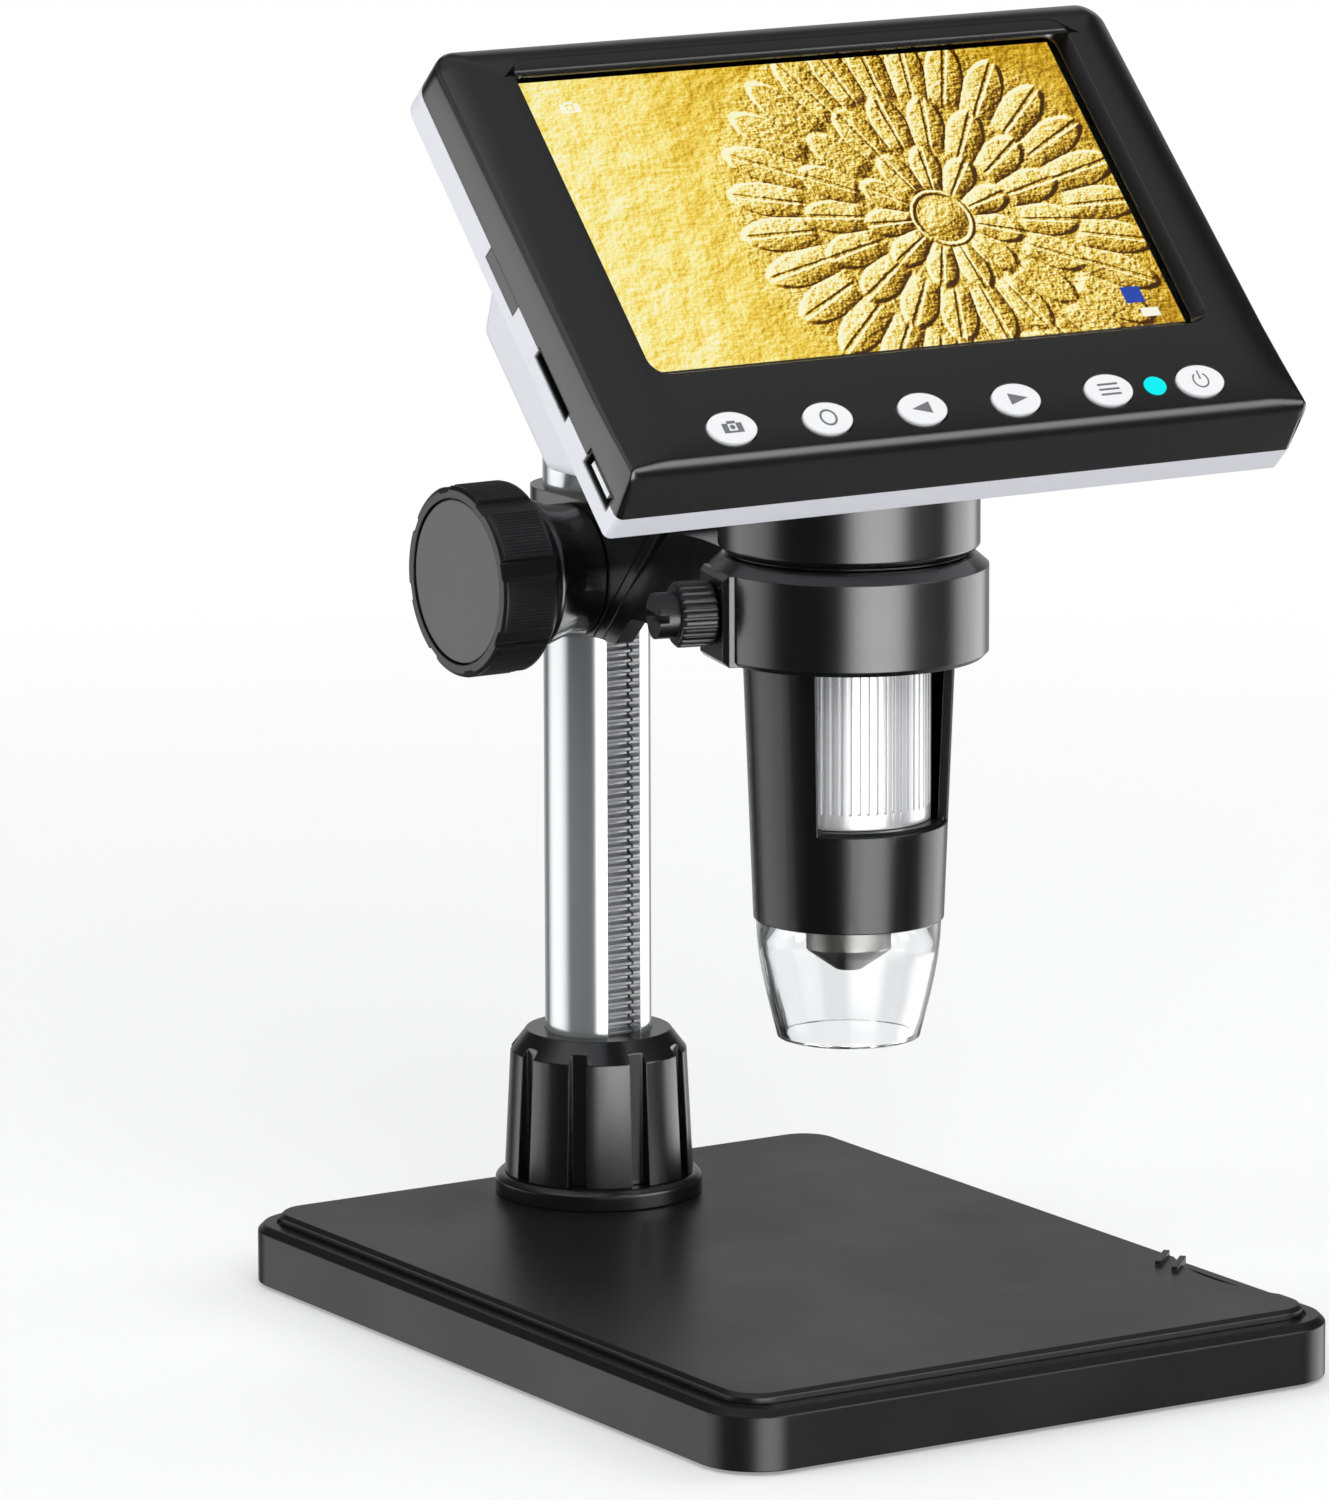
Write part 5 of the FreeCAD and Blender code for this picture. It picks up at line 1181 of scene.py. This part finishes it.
    @staticmethod
    def band(graph: Graph, turn: Signal, up: Signal, strip: Strip) -> Signal:
        """Brightness of one strip in a direction.

        Args:
            graph: tree to build in.
            turn: the heading in radians.
            up: the rise, as the direction's third coordinate.
            strip: the strip.

        Returns:
            The brightness.
        """
        near = graph.math("COSINE", turn - math.radians(strip.heading))
        low, high = math.cos(math.radians(strip.outer)), math.cos(math.radians(strip.inner))
        over = graph.ramp(up, strip.low - strip.soft, strip.low + strip.soft)
        past = graph.ramp(up, strip.high - strip.soft, strip.high + strip.soft)
        return graph.ramp(near, low, high) * over * graph.math("SUBTRACT", 1.0, past) * strip.strength


@dataclass
class RibRing:
    """Rods laid round an axis in equal groups, made with geometry nodes."""

    name: str
    axis_place: Point
    start: float
    length: float
    radius: float
    rod: float
    groups: int
    per_group: int
    span: float
    offset: float
    axis_turn: float = 0.0

    def tree(self, material: bpy.types.Material) -> bpy.types.NodeTree:
        """Build the node tree.

        Args:
            material: material of the rods.

        Returns:
            The tree, with its sizes as named inputs.
        """
        tree = bpy.data.node_groups.new(self.name + "_tree", "GeometryNodeTree")
        tree.interface.new_socket("Geometry", in_out="OUTPUT", socket_type="NodeSocketGeometry")
        names = ["Length", "Radius", "Rod", "Groups", "Per Group", "Span", "Offset"]
        for label in names:
            tree.interface.new_socket(label, in_out="INPUT", socket_type="NodeSocketFloat")
        graph = Graph(tree)
        source = graph.node("NodeGroupInput")
        size = {label: Signal(graph, source.outputs[label]) for label in names}
        index = Signal(graph, graph.node("GeometryNodeInputIndex").outputs[0])
        group = graph.math("FLOOR", index / size["Per Group"])
        within = graph.math("MODULO", index, size["Per Group"])
        share = within / (size["Per Group"] - 1.0) - 0.5
        turn = group * (2 * math.pi) / size["Groups"] + share * size["Span"] + size["Offset"]
        y = graph.math("COSINE", turn) * size["Radius"]
        z = graph.math("SINE", turn) * size["Radius"]
        place = graph.node("ShaderNodeCombineXYZ", {0: 0.0, 1: y, 2: z})
        total = size["Groups"] * size["Per Group"]
        points = graph.node("GeometryNodePoints", {"Count": total, "Position": place.outputs[0]})
        end = graph.node("ShaderNodeCombineXYZ", {0: size["Length"], 1: 0.0, 2: 0.0})
        line = graph.node("GeometryNodeCurvePrimitiveLine", {"End": end.outputs[0]})
        section = graph.node("GeometryNodeCurvePrimitiveCircle", {"Resolution": 8, "Radius": size["Rod"]})
        rod = graph.node("GeometryNodeCurveToMesh", {"Curve": line.outputs[0], "Fill Caps": True,
                                                     "Profile Curve": section.outputs[0]})
        placed = graph.node("GeometryNodeInstanceOnPoints", {"Points": points.outputs[0],
                                                             "Instance": rod.outputs[0]})
        solid = graph.node("GeometryNodeRealizeInstances", {"Geometry": placed.outputs[0]})
        dressed = graph.node("GeometryNodeSetMaterial", {"Geometry": solid.outputs[0], "Material": material})
        target = graph.node("NodeGroupOutput")
        graph.feed(target.inputs[0], dressed.outputs[0])
        return tree

    def build(self, material: bpy.types.Material) -> bpy.types.Mesh:
        """Run the tree and place the result.

        Args:
            material: material of the rods.

        Returns:
            The rods as one mesh.
        """
        tree = self.tree(material)
        helper = bpy.data.objects.new(self.name, bpy.data.meshes.new(self.name))
        bpy.context.scene.collection.objects.link(helper)
        step = helper.modifiers.new("ribs", "NODES")
        step.node_group = tree
        values = {"Length": self.length * MM, "Radius": self.radius * MM, "Rod": self.rod * MM,
                  "Groups": float(self.groups), "Per Group": float(self.per_group),
                  "Span": math.radians(self.span), "Offset": math.radians(self.offset)}
        for item in tree.interface.items_tree:
            if item.in_out == "INPUT":
                step[item.identifier] = values[item.name]
        mesh = evaluated_mesh(helper)
        turn = Matrix.Rotation(math.radians(self.axis_turn), 4, "Z")
        place = Matrix.Translation(Vector(self.axis_place) * MM)
        mesh.transform(place @ turn @ Matrix.Translation((self.start * MM, 0.0, 0.0)))
        smooth(mesh, angle=50)
        return mesh


@dataclass
class Stand:
    """Base, column, rack and collar."""

    shop: Workshop

    def build(self) -> None:
        """Dress the stand."""
        shop, body = self.shop, Body.STAND
        shop.softened("base_shell", body, "base_plastic", "base_black", width=0.35)
        shop.softened("stage_panel", body, "stage_plastic", "stage_black", width=0.3)
        shop.softened("collar_flange", body, "gloss_black", "gloss_black", width=0.3)
        shop.softened("collar_nut", body, "gloss_black", "gloss_black", width=0.22)
        shop.dress_all({"chrome": ["column_post"], "rack_steel": ["column_rack"],
                        "base_black": ["column_cap", "base_bottom_cover"], "pad_rubber": ["grip_pad"],
                        "fastener_steel": ["base_weight", "base_screws", "column_bolt"]})


@dataclass
class CarriageSet:
    """Carriage, arm, clamp screw and height knob."""

    shop: Workshop
    knob_axis: Point = (0.0, 43.7, 114.0)
    knob_face: float = -31.7
    knob_length: float = 11.1
    knob_radius: float = 14.9
    lobes: int = 8
    lobe_span: float = 29.0
    lobe_at: float = 8.0
    ribs_per_lobe: int = 15
    rib_rod: float = 0.16
    rib_start: float = 1.0
    rib_short: float = 3.4
    rib_sink: float = 0.02

    def build(self) -> None:
        """Dress the carriage and its controls."""
        shop = self.shop
        for node in ("carriage_body", "arm_ring"):
            shop.softened(node, Body.CARRIAGE, "gloss_black", "gloss_black", width=0.3)
        shop.softened("carriage_hub", Body.CARRIAGE, "gloss_black", "gloss_black", width=0.4)
        shop.softened("knob_body", Body.KNOB, "knob_black", "knob_black", width=0.3)
        shop.softened("thumb_screw", Body.SCREW, "knob_black", "knob_black", width=0.12, segments=2)
        shop.dress_all({"gloss_black": ["carriage_shim", "shaft_retainer"], "knob_disc": ["knob_cap"],
                        "fastener_steel": ["arm_bolts", "drag_washer", "pinion_shaft"],
                        "brass": ["shaft_bushes", "knob_insert", "pinion_gear"]})
        ribs = RibRing("knob_ribs", self.knob_axis, start=self.knob_face + self.rib_start,
                       length=self.knob_length - self.rib_short, radius=self.knob_radius - self.rib_sink,
                       rod=self.rib_rod, groups=self.lobes, per_group=self.ribs_per_lobe,
                       span=self.lobe_span, offset=self.lobe_at)
        mesh = ribs.build(shop.wardrobe["knob_black"])
        shop.finish_piece("knob_ribs", mesh, Body.KNOB, "knob_black", ["knob_black"])


@dataclass
class Tube:
    """Neck, barrel, focus wheel, objective and clear nose."""

    shop: Workshop
    y: float = -19.0
    nose_top: float = 68.6
    nose_bottom: float = 50.3
    nose_radii: tuple[float, ...] = (14.1, 13.95, 13.6, 13.1, 12.45, 11.75, 11.15, 10.9)
    nose_drops: tuple[float, ...] = (0.0, 3.0, 6.2, 9.0, 12.0, 14.8, 17.2, 18.3)
    nose_wall: float = 1.3
    lip_round: float = 0.35
    spigot_radii: tuple[float, float] = (11.6, 12.8)
    spigot_length: float = 2.3
    spigot_sink: float = 0.4
    spigot_gap: float = 0.05
    segments: int = 96

    def build(self) -> None:
        """Dress the tube."""
        shop, body = self.shop, Body.MICROSCOPE
        shop.softened("neck_housing", body, "gloss_black", "gloss_black", width=0.25)
        shop.softened("barrel_shell", body, "gloss_black", "barrel_black", width=0.3)
        shop.softened("focus_wheel", Body.FOCUS, "wheel_silver", "silver", width=0.12, segments=2)
        shop.softened("objective_cone", Body.LENS, "cone_metal", "turned_metal", width=0.15)
        shop.finish_piece("nose_shell", self.nose(), body, "clear_nose", ["clear_nose"], ["nose_cover"])
        shop.dress_all({"base_black": ["lens_cell"], "lens_glass": ["objective_lens"],
                        "board_mask": ["led_board", "sensor_board"], "lamp_glow": ["led_lamps"],
                        "film": ["sensor_ribbon"], "fastener_steel": ["neck_screws"]})

    def nose(self) -> bpy.types.Mesh:
        """Clear cover with a rounded lower lip."""
        outer = [(r, self.nose_top - d) for r, d in zip(self.nose_radii, self.nose_drops)]
        inner = [(r - self.nose_wall, z) for r, z in reversed(outer[1:-1])]
        lip = [(self.nose_radii[-1] - self.nose_wall * 0.5, self.nose_bottom),
               (self.nose_radii[-1] - self.nose_wall, self.nose_bottom + self.lip_round)]
        spigot_inner, spigot_outer = self.spigot_radii
        spigot_top = self.nose_top + self.spigot_length
        spigot = [(spigot_inner, self.nose_top - self.spigot_sink), (spigot_inner, spigot_top),
                  (spigot_outer, spigot_top), (spigot_outer, self.nose_top + self.spigot_gap)]
        profile = outer + lip + inner + spigot
        rings = []
        for radius, z in profile:
            ring = []
            for index in range(self.segments):
                turn = 2 * math.pi * index / self.segments
                ring.append((radius * math.cos(turn), self.y + radius * math.sin(turn), z))
            rings.append(ring)
        work = bmesh.new()
        loft(work, rings, closed=True)
        return mesh_from("nose", work, angle=50.0)


@dataclass(frozen=True)
class SideBlock:
    """Box at the left side of the head, measured in from the side, up the head and out of the screen."""

    start: float
    end: float
    low: float
    high: float
    back: float
    front: float


@dataclass
class Head:
    """Screen head with its buttons and sockets."""

    shop: Workshop
    frame: HeadFrame = HeadFrame()
    button_v: float = -40.2
    button_first: float = -41.0
    button_pitch: float = 16.63
    button_hole: tuple[float, float] = (4.45, 3.1)
    button_top: float = 2.6
    led_u: float = 34.0
    led_hole: tuple[float, float] = (1.93, 1.63)
    hole_span: tuple[float, float] = (-6.0, 4.0)
    mark_sink: float = 0.05
    mark_rise: float = 0.03
    side: float = -60.0
    inlet_hole: SideBlock = SideBlock(-1.0, 7.2, -45.25, -36.05, -8.8, -5.25)
    card_hole: SideBlock = SideBlock(-1.0, 13.2, -29.05, -16.85, -8.8, -6.45)
    tongue: SideBlock = SideBlock(0.4, 6.0, -43.7, -37.6, -7.5, -6.5)
    tab: SideBlock = SideBlock(0.0, 1.2, -8.9, 2.0, -9.3, -7.0)
    side_facing: float = 0.97
    names: tuple[str, ...] = ("button_capture", "button_confirm", "button_left", "button_right",
                              "button_list", "button_power")

    def build(self) -> None:
        """Dress the head."""
        shop, body = self.shop, Body.MICROSCOPE
        shop.softened("back_cover", body, "shell_white", "shell_pale", width=0.25)
        self.bezel()
        display = Display(self.frame)
        shop.finish_piece("display_module", display.module(), body, "switch_black", ["bezel_black"],
                          ["lcd_panel"])
        shop.finish_piece("screen_picture", display.picture(), body, "screen_picture", ["screen_picture"])
        shop.dress_all({"screen_glass": ["lcd_window"], "cyan_glow": ["status_led_lens"],
                        "wrap": ["battery"], "base_black": ["key_switches", "usb_port", "card_slot"],
                        "board_mask": ["key_board", "main_board"], "fastener_steel": ["head_screws"]})
        for index, name in enumerate(self.names):
            shop.dress(name, "button_pale")
            self.mark(name, self.button_first + index * self.button_pitch)
        self.signs(display)

    def bezel(self) -> None:
        """Cut the openings in the front frame, and add the inlet's tongue and the side tab."""
        bezel = Bezel(self.frame)
        cutters = []
        for index in range(len(self.names)):
            u = self.button_first + index * self.button_pitch
            cutters.append(self.frame.prism(ellipse(u, self.button_v, *self.button_hole), *self.hole_span))
        cutters.append(self.frame.prism(ellipse(self.led_u, self.button_v, *self.led_hole), *self.hole_span))
        cutters += [self.side_block(self.inlet_hole), self.side_block(self.card_hole)]
        mesh = cut(bezel.body(), cutters)
        smooth(mesh, angle=28)
        for face in mesh.polygons:
            face.material_index = int(abs(face.normal.x) > self.side_facing)
        self.shop.finish_piece("bezel_piece", mesh, Body.MICROSCOPE, "gloss_black",
                               ["bezel_black", "bezel_side"], ["front_bezel"])
        for name, block, slot, finish in (("inlet_tongue", self.tongue, "port_metal", "silver"),
                                          ("side_tab", self.tab, "gloss_black", "bezel_black")):
            self.shop.finish_piece(name, self.side_block(block), Body.MICROSCOPE, slot, [finish])

    def side_block(self, block: SideBlock) -> bpy.types.Mesh:
        """Closed box at the head's left side."""
        left, right = self.side + block.start, self.side + block.end
        outline = [(left, block.low), (right, block.low), (right, block.high), (left, block.high)]
        return self.frame.prism(outline, block.back, block.front)

    def mark(self, name: str, u: float) -> None:
        """Add the sign on a button's top.

        Args:
            name: the button's name.
            u: its place along the bezel.
        """
        shapes = {"button_capture": camera_sign, "button_confirm": ring_sign, "button_left": left_sign,
                  "button_right": right_sign, "button_list": bars_sign, "button_power": power_sign}[name]()
        work = bmesh.new()
        for outline in shapes:
            placed = [(u + a, self.button_v + b) for a, b in outline]
            low = self.frame.ring(placed, self.button_top - self.mark_sink)
            high = self.frame.ring(placed, self.button_top + self.mark_rise)
            loft(work, [low, high])
        mesh = mesh_from(name + "_mark", work)
        self.shop.finish_piece(name + "_mark", mesh, name + "_key", "switch_black", ["mark_grey"])

    def signs(self, display: Display) -> None:
        """Small plain signs in two corners of the picture."""
        top = display.top + 2 * display.picture_gap
        groups = {"sign_camera": (-40.5, 21.8, 0.992, camera_sign(), "sign_white", "button_white"),
                  "sign_tile": (40.6, -21.2, 1.0, [strip(-1.7, 1.7, -1.5, 1.5)], "sign_blue", "lamp_cyan"),
                  "sign_cell": (42.3, -24.6, 1.0, [strip(-1.6, 1.6, -0.8, 0.8)], "sign_white",
                                "button_white")}
        for name, (u, v, size, shapes, material, slot) in groups.items():
            work = bmesh.new()
            for outline in shapes:
                placed = [(u + a * size, v + b * size) for a, b in outline]
                low = self.frame.ring(placed, top)
                loft(work, [low, self.frame.ring(placed, top + self.mark_rise)])
            self.shop.finish_piece(name, mesh_from(name, work), Body.MICROSCOPE, slot, [material])


Outline = list[tuple[float, float]]


def strip(left: float, right: float, low: float, high: float) -> Outline:
    """Rectangle."""
    return [(left, low), (right, low), (right, high), (left, high)]


def arc_band(radius: float, width: float, start: float, end: float, steps: int = 20) -> list[Outline]:
    """Band along an arc, as a row of small blocks.

    Args:
        radius: middle radius.
        width: width of the band.
        start: first angle in degrees.
        end: last angle in degrees.
        steps: number of blocks.

    Returns:
        The blocks' outlines.
    """
    result = []
    for index in range(steps):
        a = math.radians(start + (end - start) * index / steps)
        b = math.radians(start + (end - start) * (index + 1) / steps)
        low, high = radius - width / 2, radius + width / 2
        result.append([(low * math.cos(a), low * math.sin(a)), (high * math.cos(a), high * math.sin(a)),
                       (high * math.cos(b), high * math.sin(b)), (low * math.cos(b), low * math.sin(b))])
    return result


def camera_sign() -> list[Outline]:
    """Plain camera."""
    body = [strip(-1.7, -0.72, -1.0, 0.7), strip(0.72, 1.7, -1.0, 0.7), strip(-0.72, 0.72, 0.62, 1.1),
            strip(-0.72, 0.72, -1.0, -0.66)]
    return body + [ellipse(0.0, 0.0, 0.42, 0.42, 20)]


def ring_sign() -> list[Outline]:
    """Open ring."""
    return arc_band(1.3, 0.34, 0.0, 360.0, 28)


def left_sign() -> list[Outline]:
    """Triangle to the left."""
    return [[(-1.9, 0.0), (1.3, -1.05), (1.3, 1.05)]]


def right_sign() -> list[Outline]:
    """Triangle to the right."""
    return [[(-1.3, -1.05), (1.9, 0.0), (-1.3, 1.05)]]


def bars_sign() -> list[Outline]:
    """Three bars."""
    return [strip(-1.8, 1.8, height - 0.17, height + 0.17) for height in (-0.9, 0.0, 0.9)]


def power_sign() -> list[Outline]:
    """Broken ring with a stroke."""
    return arc_band(1.3, 0.26, 125.0, 415.0, 26) + [strip(-0.14, 0.14, 0.2, 1.7)]


def main() -> None:
    """Build the looks round the frame."""
    logging.basicConfig(level=logging.INFO, format="%(name)s: %(message)s")
    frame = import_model()
    wardrobe = Wardrobe(Effects())
    shop = Workshop(frame, wardrobe)
    Stand(shop).build()
    CarriageSet(shop).build()
    Tube(shop).build()
    Head(shop).build()
    Studio().build()
    Camera().build()


if __name__ == "__main__":
    main()
